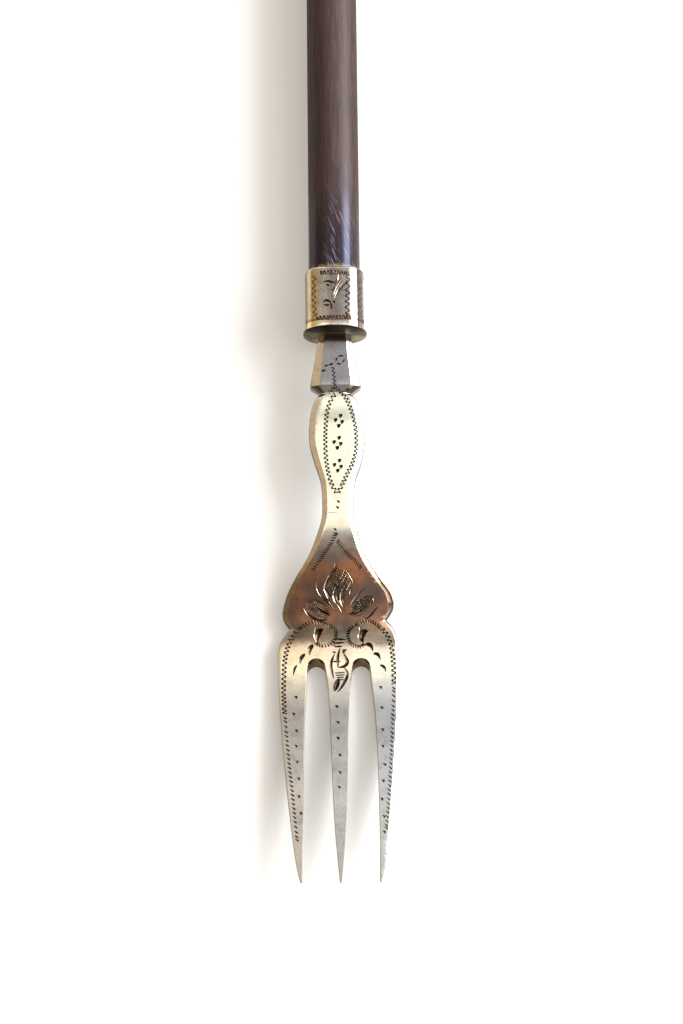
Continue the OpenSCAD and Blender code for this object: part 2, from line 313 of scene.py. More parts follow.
def loft(rings):
    """Closed skin through rings of equal count: each ring's edges are extruded to the next."""
    bm = bmesh.new()
    number = bm.verts.layers.int.new("number")
    verts = [bm.verts.new(point) for point in rings[0]]
    for i, vert in enumerate(verts):
        vert[number] = i
    edges = [bm.edges.new((verts[i - 1], verts[i])) for i in range(len(verts))]
    for ring in rings[1:]:
        made = bmesh.ops.extrude_edge_only(bm, edges=edges)["geom"]
        moved = {item for item in made if isinstance(item, bmesh.types.BMVert)}
        for vert in moved:
            vert.co = ring[vert[number]]
        edges = [
            item for item in made if isinstance(item, bmesh.types.BMEdge) and moved.issuperset(item.verts)
        ]
    bmesh.ops.holes_fill(bm, edges=bm.edges)
    bmesh.ops.recalc_face_normals(bm, faces=bm.faces)
    return bm


def ease_edges(bm):
    """Rounds off the lengthwise edges, the outer ones more, as years of rubbing do."""
    for outer, offset, segments in ((True, OUTER_EASE, 3), (False, EDGE_EASE, 2)):
        bm.normal_update()
        edges = [
            edge for edge in bm.edges
            if len(edge.link_faces) == 2 and edge.calc_face_angle() > EASE_ANGLE
            and outer == all(0 <= face.normal.z < OUTER_FACE_TILT for face in edge.link_faces)
        ]
        bmesh.ops.bevel(
            bm, geom=edges, offset=offset, segments=segments, profile=0.5, affect="EDGES", clamp_overlap=True,
            material=-1,
        )


def new_object(name, bm, material=None):
    """A mesh object in the scene, which takes the bmesh over."""
    mesh = bpy.data.meshes.new(name)
    bm.to_mesh(mesh)
    bm.free()
    piece = bpy.data.objects.new(name, mesh)
    bpy.context.scene.collection.objects.link(piece)
    if material:
        mesh.materials.append(material)
    return piece


def carve(piece, tool, operation="DIFFERENCE", crossing=False):
    """Cuts the tool out of the piece, or joins it on, and removes the tool."""
    cut = piece.modifiers.new("cut", "BOOLEAN")
    cut.object, cut.operation, cut.solver = tool, operation, "EXACT"
    cut.material_mode, cut.use_self = "TRANSFER", crossing
    evaluated = piece.evaluated_get(bpy.context.evaluated_depsgraph_get())
    mesh = bpy.data.meshes.new_from_object(evaluated)
    piece.modifiers.clear()
    piece.data = mesh
    bpy.data.objects.remove(tool)


def drop_slivers(bm):
    """Leaves the largest shell only, and closes pinholes: a cut can part a hair-thin sliver from the
    metal, or leave it hanging by one edge."""
    shells, left = [], set(bm.faces)
    while left:
        reached, shell = [left.pop()], []
        while reached:
            face = reached.pop()
            shell.append(face)
            joined = [edge for edge in face.edges if edge.is_manifold]
            beside = {other for edge in joined for other in edge.link_faces} & left
            left -= beside
            reached += beside
        shells.append(shell)
    slivers = [face for shell in sorted(shells, key=len)[:-1] for face in shell]
    bmesh.ops.delete(bm, geom=slivers, context="FACES")
    rims = [edge for edge in bm.edges if edge.is_boundary]
    if rims:
        bmesh.ops.holes_fill(bm, edges=rims, sides=PINHOLE_SIDES)
        bmesh.ops.recalc_face_normals(bm, faces=bm.faces)


def finish(piece, node):
    """Turns the piece to metres, smooths what isn't an edge and sets it on the frame."""
    bm = bmesh.new()
    bm.from_mesh(piece.data)
    bmesh.ops.remove_doubles(bm, verts=bm.verts, dist=MERGE)
    bmesh.ops.dissolve_degenerate(bm, edges=bm.edges, dist=SHORTEST)
    bmesh.ops.triangulate(bm, faces=bm.faces)
    drop_slivers(bm)
    bm.to_mesh(piece.data)
    bm.free()
    piece.data.transform(Matrix.Scale(MM, 4))
    piece.data.shade_smooth()
    piece.data.set_sharp_from_angle(angle=SHARP_ANGLE)
    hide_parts(node)
    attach(piece, "root")
    return piece


# Gaps between the tines: filed outline, chamfered along both faces
GAP_CHAMFER = 0.09
GAP_STEPS = 40
ARCH_STEPS = 24
OVERRUN = 1.0
# How far the outer edge of each gap swells beyond its plan, on the left and the right
GAP_SWELL = {-1: -0.12, 1: 0.28}


def gap_outline(side, end_s):
    """Plan of one gap, for a round end at end_s: outer edge, mouth, centre edge and arch."""
    arch_y, length = FACE_Y - end_s, TIP_S - end_s
    outer = [ARCH_X + ARCH_R, TIP_SPAN / 2 - TIP_W]
    centre = [ARCH_X - ARCH_R, TIP_W / 2]
    shares = [i / GAP_STEPS for i in range(GAP_STEPS + 1)]
    swell = GAP_SWELL[side]
    points = [
        (blend(*outer, smooth(OUTER_EDGE_SHARES, u)) + swell * math.sin(math.pi * u), arch_y - length * u)
        for u in shares
    ]
    points += [(outer[1], TIP_Y - OVERRUN), (centre[1], TIP_Y - OVERRUN)]
    points += [
        (blend(*centre, smooth(CENTRE_EDGE_SHARES, u)), arch_y - length * u) for u in reversed(shares)
    ]
    for i in range(1, ARCH_STEPS):
        turn = math.pi * (1 - i / ARCH_STEPS)
        points.append((ARCH_X + ARCH_R * math.cos(turn), arch_y + ARCH_R * math.sin(turn)))
    return [Vector((side * x, y)) for x, y in points]


def widened(points, amount):
    """The outline moved outwards by amount."""
    moved = []
    for i, point in enumerate(points):
        along = points[(i + 1) % len(points)] - points[i - 1]
        out = Vector((along.y, -along.x)).normalized()
        moved.append(point + out * amount)
    return moved


def gap_tool(side, heights):
    """Solid to file out: it follows the height and thickness of the metal along the tines."""
    turn = -side

    def ring(level, grow):
        slant = {"low": 0.0, "top": ARCH_SLANT}[level]
        outline = gap_outline(side, BACK_ARCH_S - slant)
        shift = grow - GAP_CHAMFER
        return [
            Vector((flared.x, flared.y, heights(plain.y, level) + (shift if level == "top" else -shift)))
            for plain, flared in zip(outline, widened(outline, turn * max(grow, 0)))
        ]

    reach = 4 * GAP_CHAMFER
    return loft([ring("low", reach), ring("low", 0), ring("top", 0), ring("top", reach)])


def metal_height(stations):
    """Height of the front or back of the metal at a place along the head."""
    def at(y, level):
        s = min(max(FACE_Y - y, stations[0][0]), stations[-1][0])
        after = next(i for i, row in enumerate(stations) if row[0] >= s)
        low, high = stations[max(after - 1, 0)], stations[after]
        share = (s - low[0]) / (high[0] - low[0]) if high[0] > low[0] else 0
        middle, thickness = blend(low[2], high[2], share), blend(low[3], high[3], share)
        return middle + thickness / 2 if level == "top" else max(middle - thickness / 2, 0)
    return at


# Engraving, placed by pixels of the photograph. A path runs through points (x, y).
OVAL_LEFT = [
    (335, 394), (330, 402), (327, 413), (325.6, 428), (325.3, 442), (326, 458), (328.5, 474), (332, 485),
    (336.5, 493),
]
OVAL_RIGHT = [
    (341, 391.5), (345.5, 398), (350, 407), (354.5, 421), (356.5, 436), (356, 451), (352.5, 463), (347, 474),
    (342, 485), (338, 493),
]
SHIELD_LEFT = [(335.5, 534), (331, 543), (324.5, 552.5), (318, 562), (312.5, 570)]
SHIELD_RIGHT = [(337.5, 541), (342.6, 549.6), (349, 555.5), (355, 561), (360.5, 568)]
VOLUTE_LEFT = [
    (300, 629), (304, 625.5), (309, 623), (314.5, 621.8), (320.4, 622.8), (326.5, 624.8), (331.6, 627.2),
    (335.4, 630.5), (336, 635), (334.5, 639.5), (330.5, 643.5), (325, 645.6), (319.5, 645), (316.5, 642.8),
]
VOLUTE_RIGHT = [
    (379.6, 627), (375.5, 623.3), (370.4, 621), (365.3, 620.8), (360, 622.4), (354.5, 624.9), (350.5, 628),
    (348, 631.5), (347.6, 636), (348.8, 640.8), (351.5, 644.4), (355.5, 646.4), (360, 646.8), (364, 644.6),
]
BORDER_LEFT = [
    (297.5, 630.5), (292.5, 637), (288.6, 645), (285.8, 655), (284.2, 668), (283.6, 690), (284, 702),
    (284.6, 714),
]
BORDER_RIGHT = [(382, 629), (387.2, 635.5), (390.6, 644), (392.6, 655), (393.6, 668), (393.8, 684)]
LOWER_LEFT = [
    (285, 718), (286, 732), (287.6, 750), (289.4, 768), (291.4, 786), (293.2, 804), (295, 822), (296.8, 840),
]
LOWER_RIGHT = [
    (393.6, 688), (393, 706), (392, 728), (391, 750), (390, 772), (388.8, 794), (387.4, 812), (386.2, 828),
]
BUD_LEFT = [
    (335, 562.5), (334.4, 567.5), (330.8, 573.3), (327.5, 579.2), (325.2, 585), (324.6, 589), (326.3, 594),
    (328, 599),
]
BUD_RIGHT = [(343.5, 568), (346.7, 570.8), (350, 575.4), (352.9, 581.7), (353.3, 587.5)]
# Cuts in the flower, bright on one wall and in painted shade on the other: a path and its greatest width in
# millimetres
BUD = [
    (BUD_LEFT, 0.42), (BUD_RIGHT, 0.24),
    ([(340, 581.6), (335.8, 587.5), (333.8, 593.3), (334.6, 600), (338.8, 605.8), (341.9, 612.4)], 0.42),
    ([(343.4, 587.6), (341.6, 592), (340.8, 598.6), (341.7, 604), (344.4, 608.4)], 0.42),
    ([(351.4, 588.6), (349.8, 593.8)], 0.4),
    ([(365.6, 587.8), (361.6, 591.2), (357, 596), (353, 600.8), (349.8, 606)], 0.38),
]
PETAL = [(316.2, 582), (316.7, 587.5), (319, 593.3), (323.4, 598), (328.2, 600.6), (330.8, 604), (334.2, 609)]
LEAF_RIMS = [
    [(305.4, 604.4), (307.4, 601.8), (311, 600), (315.6, 600), (320.6, 602.4), (325.4, 605.8), (329.2, 610)],
    [(303.8, 608.6), (307, 614), (311.6, 618.4), (317, 621)],
    [(356, 602.4), (359.6, 599), (364.6, 596.6), (370.4, 596.4), (373.6, 599.4), (373.4, 603.4)],
    [(348.6, 613.8), (352.6, 615.8), (357.4, 615.8), (362.8, 613.4), (367.6, 609.6)],
    [(355, 610.4), (359, 607.4), (365.4, 602)],
]
# Cuts that hold dirt in the flower: a path and its greatest width in millimetres
FLOWER_DARKS = [
    ([(336.9, 564), (335.9, 569), (332.4, 574.6), (329.4, 580)], 0.3),
    ([(326.6, 588), (328, 594), (330.6, 599)], 0.4),
    ([(337.6, 591), (337.4, 597), (339.6, 604)], 0.6),
    ([(344.4, 593), (343.2, 598.6), (343.8, 604)], 0.36),
    ([(320, 596.8), (325, 601), (329, 604.6), (332.4, 609)], 0.4),
    ([(315.2, 606.6), (321.4, 611.4), (330.6, 615.2)], 0.62),
    ([(305.4, 610.4), (308.6, 614.6), (313.6, 618.2), (319.6, 620.2), (328, 619.8)], 0.46),
    ([(349.4, 613.6), (356.4, 612.6), (363.4, 607.8)], 0.7),
    ([(363.4, 616.2), (366.6, 618.4), (370.8, 615.4), (375, 609.8), (378.4, 606.4)], 0.4),
]
LEAF_LEFT = [
    (304, 608), (306.5, 602.4), (311, 600.2), (316, 600.4), (322, 603.6), (329, 610), (330, 615),
    (325, 619.6), (314, 618.4),
]
LEAF_RIGHT = [
    (350, 613.4), (352.5, 605.8), (358.7, 599.4), (365.3, 596.4), (371.4, 596.8), (373.3, 602), (368, 608.3),
    (361.2, 612.9), (355.1, 615.4),
]
PENDANT = [
    ([(334.8, 653.6), (332, 660), (331, 666), (332, 672), (333.8, 679)], 0.5),
    ([(340.2, 648), (338.6, 653), (337.6, 660), (338.1, 668)], 0.5),
    ([(343.2, 652.6), (346, 658), (347.6, 661.4), (346.4, 664.6), (343.6, 666.6), (338.4, 667.4)], 0.6),
    ([(344, 667.6), (347.3, 672), (347, 677), (344.6, 682), (341, 688), (337, 692.6)], 0.52),
    ([(338.8, 678.6), (336.8, 684), (334.2, 691.4)], 1.0),
    ([(332.6, 661.6), (336.6, 661.5), (340.6, 661.6)], 0.34),
]
BARS = [
    [(335, 639), (345.4, 639.5)], [(332.8, 643.4), (344.4, 642.6)], [(334.6, 646.6), (342.4, 646.4)],
    [(342.2, 650), (346.8, 650)], [(342, 652), (345.6, 651.8)], [(332.6, 652), (335.8, 652.4)],
]
# Wedge-shaped gouges: a path and its greatest width in millimetres
GREAT_COMMAS = [
    ([(323.4, 629.4), (319.6, 631), (317.2, 636), (317.2, 642)], 1.2),
    ([(368, 631), (364, 632), (361.4, 636.8), (363.6, 642.6)], 1.25),
]
GREAT_WALLS = [
    ([(315.8, 627), (315.2, 631), (314.6, 636), (316.6, 642.4)], 0.42),
    ([(359.6, 627.6), (360, 631.4), (358.8, 636.8), (362.8, 642.8)], 0.5),
]
SMALL_COMMAS = [
    ([(313.2, 644.6), (310, 649), (309.4, 655.4)], 0.75),
    ([(305.2, 653.8), (301.2, 658.2), (300, 664)], 0.65),
    ([(297, 664.8), (294.2, 670), (293.4, 676)], 0.42),
    ([(365, 643.8), (370.6, 645.4), (373, 651.4)], 0.75),
    ([(373.2, 653.6), (377.8, 654.4), (380.6, 660.2)], 0.6),
    ([(379.8, 664.8), (384, 667), (386, 672.4)], 0.5),
]
# Pricked dots, with their sizes in millimetres
TINE_DOTS = [
    (295.7, 697), (293.4, 713.8), (296.2, 730.6), (295.7, 745.9), (296.7, 761.7), (298.3, 778.4),
    (298.7, 796.2), (300.6, 813), (336.6, 706.3), (337.8, 722.2), (337.8, 737.8), (339.6, 754.8),
    (339.6, 772.4), (338.8, 787), (380.4, 687.2), (381.6, 707.5), (382.4, 729.4), (382.4, 745.9),
    (384.7, 764.3), (383, 780.6), (381.7, 798.8), (383.5, 816.3), (384, 831.8),
]
TINE_DOT = 0.58
STEM_DOTS = [(338.3, 501.3), (337.4, 507.2), (335, 529), (336.2, 533.2)]
STEM_DOT = 0.42
LOZENGES = [(338.6, 420.5), (337.2, 442.5), (337.6, 465.3)]
LOZENGE_POINTS = [(1.76, -5), (-3.3, -0.75), (3.3, 1), (0, 5)]
LOZENGE_DOT = 0.84
NECK_MARKS = [
    [(324.2, 366.4), (328, 364.9)], [(328.8, 365), (333.2, 363.6)], [(321.6, 371.4), (325.6, 369.8)],
    [(335.2, 361.2), (337.2, 357.6)], [(338.4, 356), (343.4, 355.6)], [(336.8, 363.6), (341, 364.2)],
    [(342, 362.6), (344.6, 359.2)],
]
NECK_WRIGGLE = [(332.6, 367), (333.6, 373), (334, 379), (334.6, 386)]
NOSE_WRIGGLES = [
    [(334.8, 387), (338.5, 390.5), (343.5, 394)],
    [(334.6, 387), (331, 390.5), (328.5, 393)],
]
FLAWS = [[(328, 512.4), (337, 512.2)]]
BUD_RIM = BUD_LEFT + BUD_RIGHT[::-1]
PENDANT_WAIST = [(333.6, 671), (345, 671), (344, 682), (338, 682)]
# Hatched parts: outline, first and last line's middle, count, and half a line's run
HATCHES = [
    (LEAF_LEFT, (306, 607), (331, 614), 16, (-2.5, 8)),
    (LEAF_RIGHT, (373, 601), (351, 610), 15, (4, 6)),
    (BUD_RIM, (327, 580), (353, 588), 12, (-3, 9)),
    (BUD_RIM, (340, 569), (338, 601), 12, (8, 4)),
    (PENDANT_WAIST, (339.4, 671.6), (339.4, 681), 4, (-6, 0.4)),
]
BRIGHT_HATCHES = [
    (LEAF_RIGHT, (356, 601), (368, 609), 6, (11, -6)),
    (BUD_RIM, (341, 574), (350, 588), 4, (-3, 6)),
]

# Depth of a cut by its half width, and the height above the table under which nothing is cut
CUT_DEPTH = 0.62
LOWEST_CUT = 0.05
# Widths of single cuts in millimetres
NECK_MARK_W = 0.36
BAR_W = 0.34
FLAW_W = 0.08
HATCH_W = 0.23
PETAL_W = 0.26
LEAF_W = 0.22
# Rows of cuts: how far they reach and repeat in pixels, their line in millimetres, the middle of a
# zigzag's leg by its line, and the lean of a slash
OVAL_ZIGZAG = {"width": 4.4, "pitch": 4.3, "line": 0.22, "leg": 0.7}
BORDER_ZIGZAG = {"width": 5.0, "pitch": 4.3, "line": 0.22, "leg": 0.7}
NECK_ZIGZAG = {"width": 3.0, "pitch": 4.0, "line": 0.22, "leg": 0.55}
NOSE_ZIGZAG = {"width": 3.6, "pitch": 4.0, "line": 0.22, "leg": 0.55}
PANEL_ZIGZAG = {"line": 0.21, "leg": 0.7}
PANEL_ROW_ZIGZAG = {"width": 4.4, "pitch": 3.2, "line": 0.28, "leg": 1.0}
SHIELD_SLASHES = {"length": 4.2, "pitch": 2.3, "line": 0.26, "skew": 0.4}
VOLUTE_SLASHES = {"length": 4.0, "pitch": 2.4, "line": 0.32, "skew": 0.35}
LOWER_SLASHES = {"length": 3.2, "pitch": 4.5, "line": 0.3, "skew": -0.8}
# Least width of a drawn line at its start and its end, by its greatest
KEEN = {"start": 0.35, "end": 0.1}
BLUNT = {"start": 0.6, "end": 0.5}
EVEN = {"start": 0.8, "end": 0.8}
# Shapes of the cuts: places along a zigzag's leg, and widths by the line's along a leg and a slash
LEG_PLACES = (0.0, 0.16, 0.5, 0.84, 1.0)
LEG_END, LEG_BITE = 0.5, 1.3
SLASH_WIDTHS = (1.1, 1.0, 0.5)
# A prick: places from its middle in pixels, and widths by its size
PRICK = [(-1.7, -0.9, 0.15), (-0.3, -0.1, 0.8), (0.9, 0.7, 1.0), (1.6, 1.1, 0.2)]
# A hatching line's bites: their pitch in pixels, and widths by the line's
BITE = 0.85
BITE_WIDTHS = (0.5, 1.35)
# Pitch in pixels of the points along a drawn line and a comma
STROKE_STEP = 1.5
COMMA_STEP = 1.2
COMMA_END = 0.12


def smooth_path(points, step):
    """Points about a step apart along a smooth curve through the given ones."""
    curve = []
    for i in range(len(points) - 1):
        p0, p1 = points[max(i - 1, 0)], points[i]
        p2, p3 = points[i + 1], points[min(i + 2, len(points) - 1)]
        pieces = max(1, round(math.dist(p1, p2) / step))
        for k in range(pieces):
            u = k / pieces
            curve.append(Vector([
                0.5 * (2 * b + (c - a) * u + (2 * a - 5 * b + 4 * c - d) * u**2
                       + (3 * b - a - 3 * c + d) * u**3)
                for a, b, c, d in zip(p0, p1, p2, p3)
            ]))
    curve.append(Vector(points[-1]))
    return curve


def graver_profile():
    """Section of a cut: a flat diamond, whose lower corner is the bottom of the cut."""
    outline = bpy.data.curves.new("graver", "CURVE")
    spline = outline.splines.new("POLY")
    spline.points.add(3)
    for point, place in zip(spline.points, ((1, 0), (0, CUT_DEPTH), (-1, 0), (0, -CUT_DEPTH))):
        point.co = (*place, 0, 1)
    spline.use_cyclic_u = True
    profile = bpy.data.objects.new("graver", outline)
    bpy.context.scene.collection.objects.link(profile)
    return profile


class Graver:
    """Collects cuts as tapered four-sided tubes, whose lower edge is the bottom of each cut."""

    def __init__(self, surface, name):
        self.surface = surface
        self.curve = bpy.data.curves.new(name, "CURVE")
        self.curve.dimensions = "3D"
        self.curve.twist_mode = "Z_UP"
        self.curve.bevel_mode = "OBJECT"
        self.curve.bevel_object = graver_profile()
        self.curve.use_fill_caps = True

    def cut(self, points, widths):
        """One cut through pixels, with its width in millimetres at each."""
        placed = [(self.surface(x, y), w) for (x, y), w in zip(points, widths)]
        placed = [(place, w) for place, w in placed if place]
        if len(placed) < 2:
            return
        spline = self.curve.splines.new("POLY")
        spline.points.add(len(placed) - 1)
        for point, (place, w) in zip(spline.points, placed):
            point.co = (*place, 1)
            point.radius = w / 2

    def stroke(self, points, width, start, end):
        """A drawn line, which swells in the middle and runs out at its end."""
        path = smooth_path(points, STROKE_STEP)
        last = max(len(path) - 1, 1)
        swell = [abs(math.sin(math.pi * i / last)) ** 0.7 for i in range(last + 1)]
        ends = [blend(start, end, i / last) for i in range(last + 1)]
        self.cut(path, [width * max(a, b) for a, b in zip(swell, ends)])

    def comma(self, points, width):
        """A wedge that is widest near its start."""
        path = smooth_path(points, COMMA_STEP)
        last = len(path) - 1
        swell = [math.sin(math.pi * (i / last) ** 0.75) for i in range(last + 1)]
        self.cut(path, [width * max(COMMA_END, share) for share in swell])

    def dot(self, x, y, size):
        """A prick that is deep on one side and runs out on the other."""
        self.cut([(x + dx, y + dy) for dx, dy, _ in PRICK], [size * share for *_, share in PRICK])

    def wriggle(self, points, width, pitch, line, leg):
        """Zigzag of a rocked tool: thin legs that bite deeper at both ends."""
        path = smooth_path(points, pitch / 2)
        widths = [line * share for share in (LEG_END, LEG_BITE, leg, LEG_BITE, LEG_END)]
        for i in range(len(path) - 1):
            along = (path[min(i + 2, len(path) - 1)] - path[max(i - 1, 0)]).normalized()
            across = Vector((-along.y, along.x)) * (width / 2 if i % 2 else -width / 2)
            start, end = path[i] - across, path[i + 1] + across
            self.cut([start.lerp(end, u) for u in LEG_PLACES], widths)

    def ticks(self, points, length, pitch, line, skew):
        """Row of short slashes across a path, each leaning along it by skew."""
        path = smooth_path(points, pitch)
        widths = [line * share for share in SLASH_WIDTHS]
        for i, middle in enumerate(path):
            along = (path[min(i + 1, len(path) - 1)] - path[max(i - 1, 0)]).normalized()
            reach = (Vector((-along.y, along.x)) + along * skew) * length / 2
            self.cut([middle - reach, middle, middle + reach], widths)

    def hatch(self, outline, start, end, count, lean):
        """Parallel lines across a leaf, clipped to its outline and bitten in steps by the rocked tool."""
        (x0, y0), (x1, y1) = start, end
        steps = round(Vector(lean).length / BITE)
        for i in range(count):
            u = (i + 0.5) / count
            middle = Vector((blend(x0, x1, u), blend(y0, y1, u)))
            line = [middle + Vector(lean) * k / steps for k in range(-steps, steps + 1)]
            inside = [point for point in line if contains(outline, point)]
            if len(inside) > 2:
                self.cut(inside, [HATCH_W * BITE_WIDTHS[(i + k) % 2] for k in range(len(inside))])

    def tool(self, material):
        """The cuts as one mesh object."""
        carrier = bpy.data.objects.new(self.curve.name, self.curve)
        bpy.context.scene.collection.objects.link(carrier)
        evaluated = carrier.evaluated_get(bpy.context.evaluated_depsgraph_get())
        mesh = bpy.data.meshes.new_from_object(evaluated)
        bpy.data.objects.remove(self.curve.bevel_object)
        bpy.data.objects.remove(carrier)
        mesh.materials.clear()
        mesh.materials.append(material)
        bm = bmesh.new()
        bm.from_mesh(mesh)
        bmesh.ops.remove_doubles(bm, verts=bm.verts, dist=SHORTEST / 2)
        bmesh.ops.recalc_face_normals(bm, faces=bm.faces)
        for face in bm.faces:
            face.material_index = 0
        bm.to_mesh(mesh)
        bm.free()
        tool = bpy.data.objects.new(self.curve.name, mesh)
        bpy.context.scene.collection.objects.link(tool)
        return tool


def contains(outline, point):
    """True if the point lies inside the closed outline."""
    inside = False
    for (x0, y0), (x1, y1) in zip(outline, outline[1:] + outline[:1]):
        if (y0 > point.y) != (y1 > point.y) and point.x < (x1 - x0) * (point.y - y0) / (y1 - y0) + x0:
            inside = not inside
    return inside


def photo_surface(piece, camera):
    """A function from a pixel of the photograph to the place on the piece that it shows."""
    tree = BVHTree.FromObject(piece, bpy.context.evaluated_depsgraph_get())
    eye = Vector(CAMERA_PLACE)
    turn = camera.matrix_world.to_3x3()
    focal = LENS / SENSOR * PHOTO_H

    def place(x, y):
        sight = turn @ Vector((x - PHOTO_W / 2, PHOTO_H / 2 - y, -focal))
        hit = tree.ray_cast(eye, sight.normalized())[0]
        return hit if hit is not None and hit.z > LOWEST_CUT else None
    return place


def engrave_head(head, camera, dirty, clean):
    """Borders, dots, gouges and most hatching hold dirt; the flower's outlines are bright on one wall,
    with painted shade on the other.
    """
    graver = Graver(photo_surface(head, camera), "dirty_cuts")
    for path in (OVAL_LEFT, OVAL_RIGHT):
        graver.wriggle(path, **OVAL_ZIGZAG)
    for path in (SHIELD_LEFT, SHIELD_RIGHT):
        graver.ticks(path, **SHIELD_SLASHES)
    for path in (VOLUTE_LEFT, VOLUTE_RIGHT):
        graver.ticks(path, **VOLUTE_SLASHES)
    for path in (BORDER_LEFT, BORDER_RIGHT):
        graver.wriggle(path, **BORDER_ZIGZAG)
    for path in (LOWER_LEFT, LOWER_RIGHT):
        graver.ticks(path, **LOWER_SLASHES)
    graver.wriggle(NECK_WRIGGLE, **NECK_ZIGZAG)
    for path in NOSE_WRIGGLES:
        graver.wriggle(path, **NOSE_ZIGZAG)
    for path in NECK_MARKS:
        graver.stroke(path, NECK_MARK_W, **BLUNT)
    for x, y in TINE_DOTS:
        graver.dot(x, y, TINE_DOT)
    for x, y in STEM_DOTS:
        graver.dot(x, y, STEM_DOT)
    for x, y in LOZENGES:
        for dx, dy in LOZENGE_POINTS:
            graver.dot(x + dx, y + dy, LOZENGE_DOT)
    for path in BARS:
        graver.stroke(path, BAR_W, **BLUNT)
    for path in FLAWS:
        graver.stroke(path, FLAW_W, **EVEN)
    for path, width in GREAT_COMMAS + SMALL_COMMAS:
        graver.comma(path, width)
    for path, width in PENDANT + FLOWER_DARKS:
        graver.stroke(path, width, start=0.3, end=0.1)
    for outline, start, end, count, lean in HATCHES:
        graver.hatch(outline, start, end, count, lean)
    carve(head, graver.tool(dirty), crossing=True)

    graver = Graver(photo_surface(head, camera), "clean_cuts")
    for path, width in BUD:
        graver.stroke(path, width, start=0.2, end=0.1)
    graver.stroke(PETAL, PETAL_W, start=0.15, end=0.1)
    for path in LEAF_RIMS:
        graver.stroke(path, LEAF_W, **KEEN)
    for path, width in GREAT_WALLS:
        graver.stroke(path, width, **KEEN)
    for outline, start, end, count, lean in BRIGHT_HATCHES:
        graver.hatch(outline, start, end, count, lean)
    carve(head, graver.tool(clean), crossing=True)


def rod(radius, length, middle_y, steps):
    """Round rod on the axis of the handle."""
    bm = bmesh.new()
    bmesh.ops.create_cone(bm, cap_ends=True, segments=steps, radius1=radius, radius2=radius, depth=length)
    turn = Matrix.Translation((0, middle_y, AXIS_Z)) @ Matrix.Rotation(math.radians(90), 4, "X")
    bmesh.ops.transform(bm, matrix=turn, verts=bm.verts)
    return bm


def make_head(camera, metal, dirty, clean):
    """Forged head with its tang: filed out between the tines, then engraved."""
    stations = head_stations()
    bm = loft([section(station) for station in stations])
    ease_edges(bm)
    head = new_object("engraved_fork_head", bm, metal)
    heights = metal_height(stations)
    for side in (-1, 1):
        carve(head, new_object("gap", gap_tool(side, heights), metal))
    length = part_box("fork_head")[1].y / MM - FACE_Y
    tang = rod(TANG_D / 2, length + TANG_ROOT, FACE_Y + length / 2 - TANG_ROOT / 2, TANG_STEPS)
    carve(head, new_object("tang", tang, metal), "UNION")
    engrave_head(head, camera, dirty, clean)
    return finish(head, "fork_head")


# Divisions of the turned shapes: round the axis, and along each stretch
ROUND_STEPS = 96
RIM_STEPS = 10
FLARE_STEPS = 12
TUBE_RINGS = 12
MOUTH_STEPS = 8
GRIP_STEPS = 60
DOME_STEPS = 16
# How far from the middle of a flat its points are shared out, by the round's radius
FLAT_SPREAD = 0.25

# Front panel of the ferrule, placed by pixels of the photograph: path, width and pitch of each border
PANEL_BORDER = [
    ([(314.4, 276.4), (313.8, 286), (314, 300), (315, 316.4)], 4.0, 5.8),
    ([(348.4, 277), (347.8, 290), (347.4, 304), (347.6, 315)], 5.2, 6.2),
]
PANEL_ROWS = [
    [(319.8, 273), (328, 272.4), (338, 272.6), (349.6, 273.8)],
    [(315.8, 318.4), (326, 317.4), (338, 317), (350.8, 317)],
]
# Cuts of the panel, bright and dark: a path and its greatest width in millimetres
PANEL_STROKES = [
    ([(338.6, 274.6), (338.6, 277.6), (337.8, 281)], 0.2),
    ([(343.6, 276.4), (339.8, 282), (336, 288.6), (333.6, 295)], 0.13),
    ([(347, 278.4), (342.6, 283.4), (337.8, 290), (334.4, 298)], 0.14),
]
PANEL_MARKS = [
    ([(337.2, 278), (334.6, 284), (332.2, 290), (330.8, 297)], 0.36),
    ([(341.8, 277), (338, 282.6), (334.6, 289.4), (332.4, 295.6)], 0.22),
    ([(347.4, 281), (343, 286), (339, 290.6), (335.6, 295.6)], 0.3),
    ([(323.6, 281.8), (327, 281), (331.2, 281.8), (335.6, 282.8)], 0.42),
    ([(326.6, 284.4), (329.4, 285.4)], 0.4),
    ([(323.2, 302.4), (325.4, 300.2), (328.6, 300.8), (331, 302.6)], 0.42),
    ([(323.4, 304.4), (326.6, 305.2), (330.2, 304)], 0.36),
    ([(329.4, 302.6), (331, 306), (331.6, 309)], 0.5),
    ([(333, 300.6), (335, 302.8)], 0.4),
]


def squared_ring(half, flat, y):
    """A circle laid as a square with soft flats, round the axis of the handle."""
    corner = half - flat / 2
    ring = []
    for i in range(ROUND_STEPS):
        turn = 2 * math.pi * (i + 0.5) / ROUND_STEPS
        x, z = math.cos(turn), math.sin(turn)
        ring.append(Vector((
            corner * x + math.copysign(flat / 2, x) * smooth_step(abs(x)),
            y,
            AXIS_Z + corner * z + math.copysign(flat / 2, z) * smooth_step(abs(z)),
        )))
    return ring


def smooth_step(value):
    """0 at 0 and 1 from the spread on, to share a flat's points out along it."""
    share = min(value / FLAT_SPREAD, 1)
    return share * share * (3 - 2 * share)


def bore_out(piece, radius, metal):
    """Round hole through a piece of the ferrule, along the axis of the handle."""
    carve(piece, new_object("bore", rod(radius, BORE_REACH, 0, ROUND_STEPS), metal))


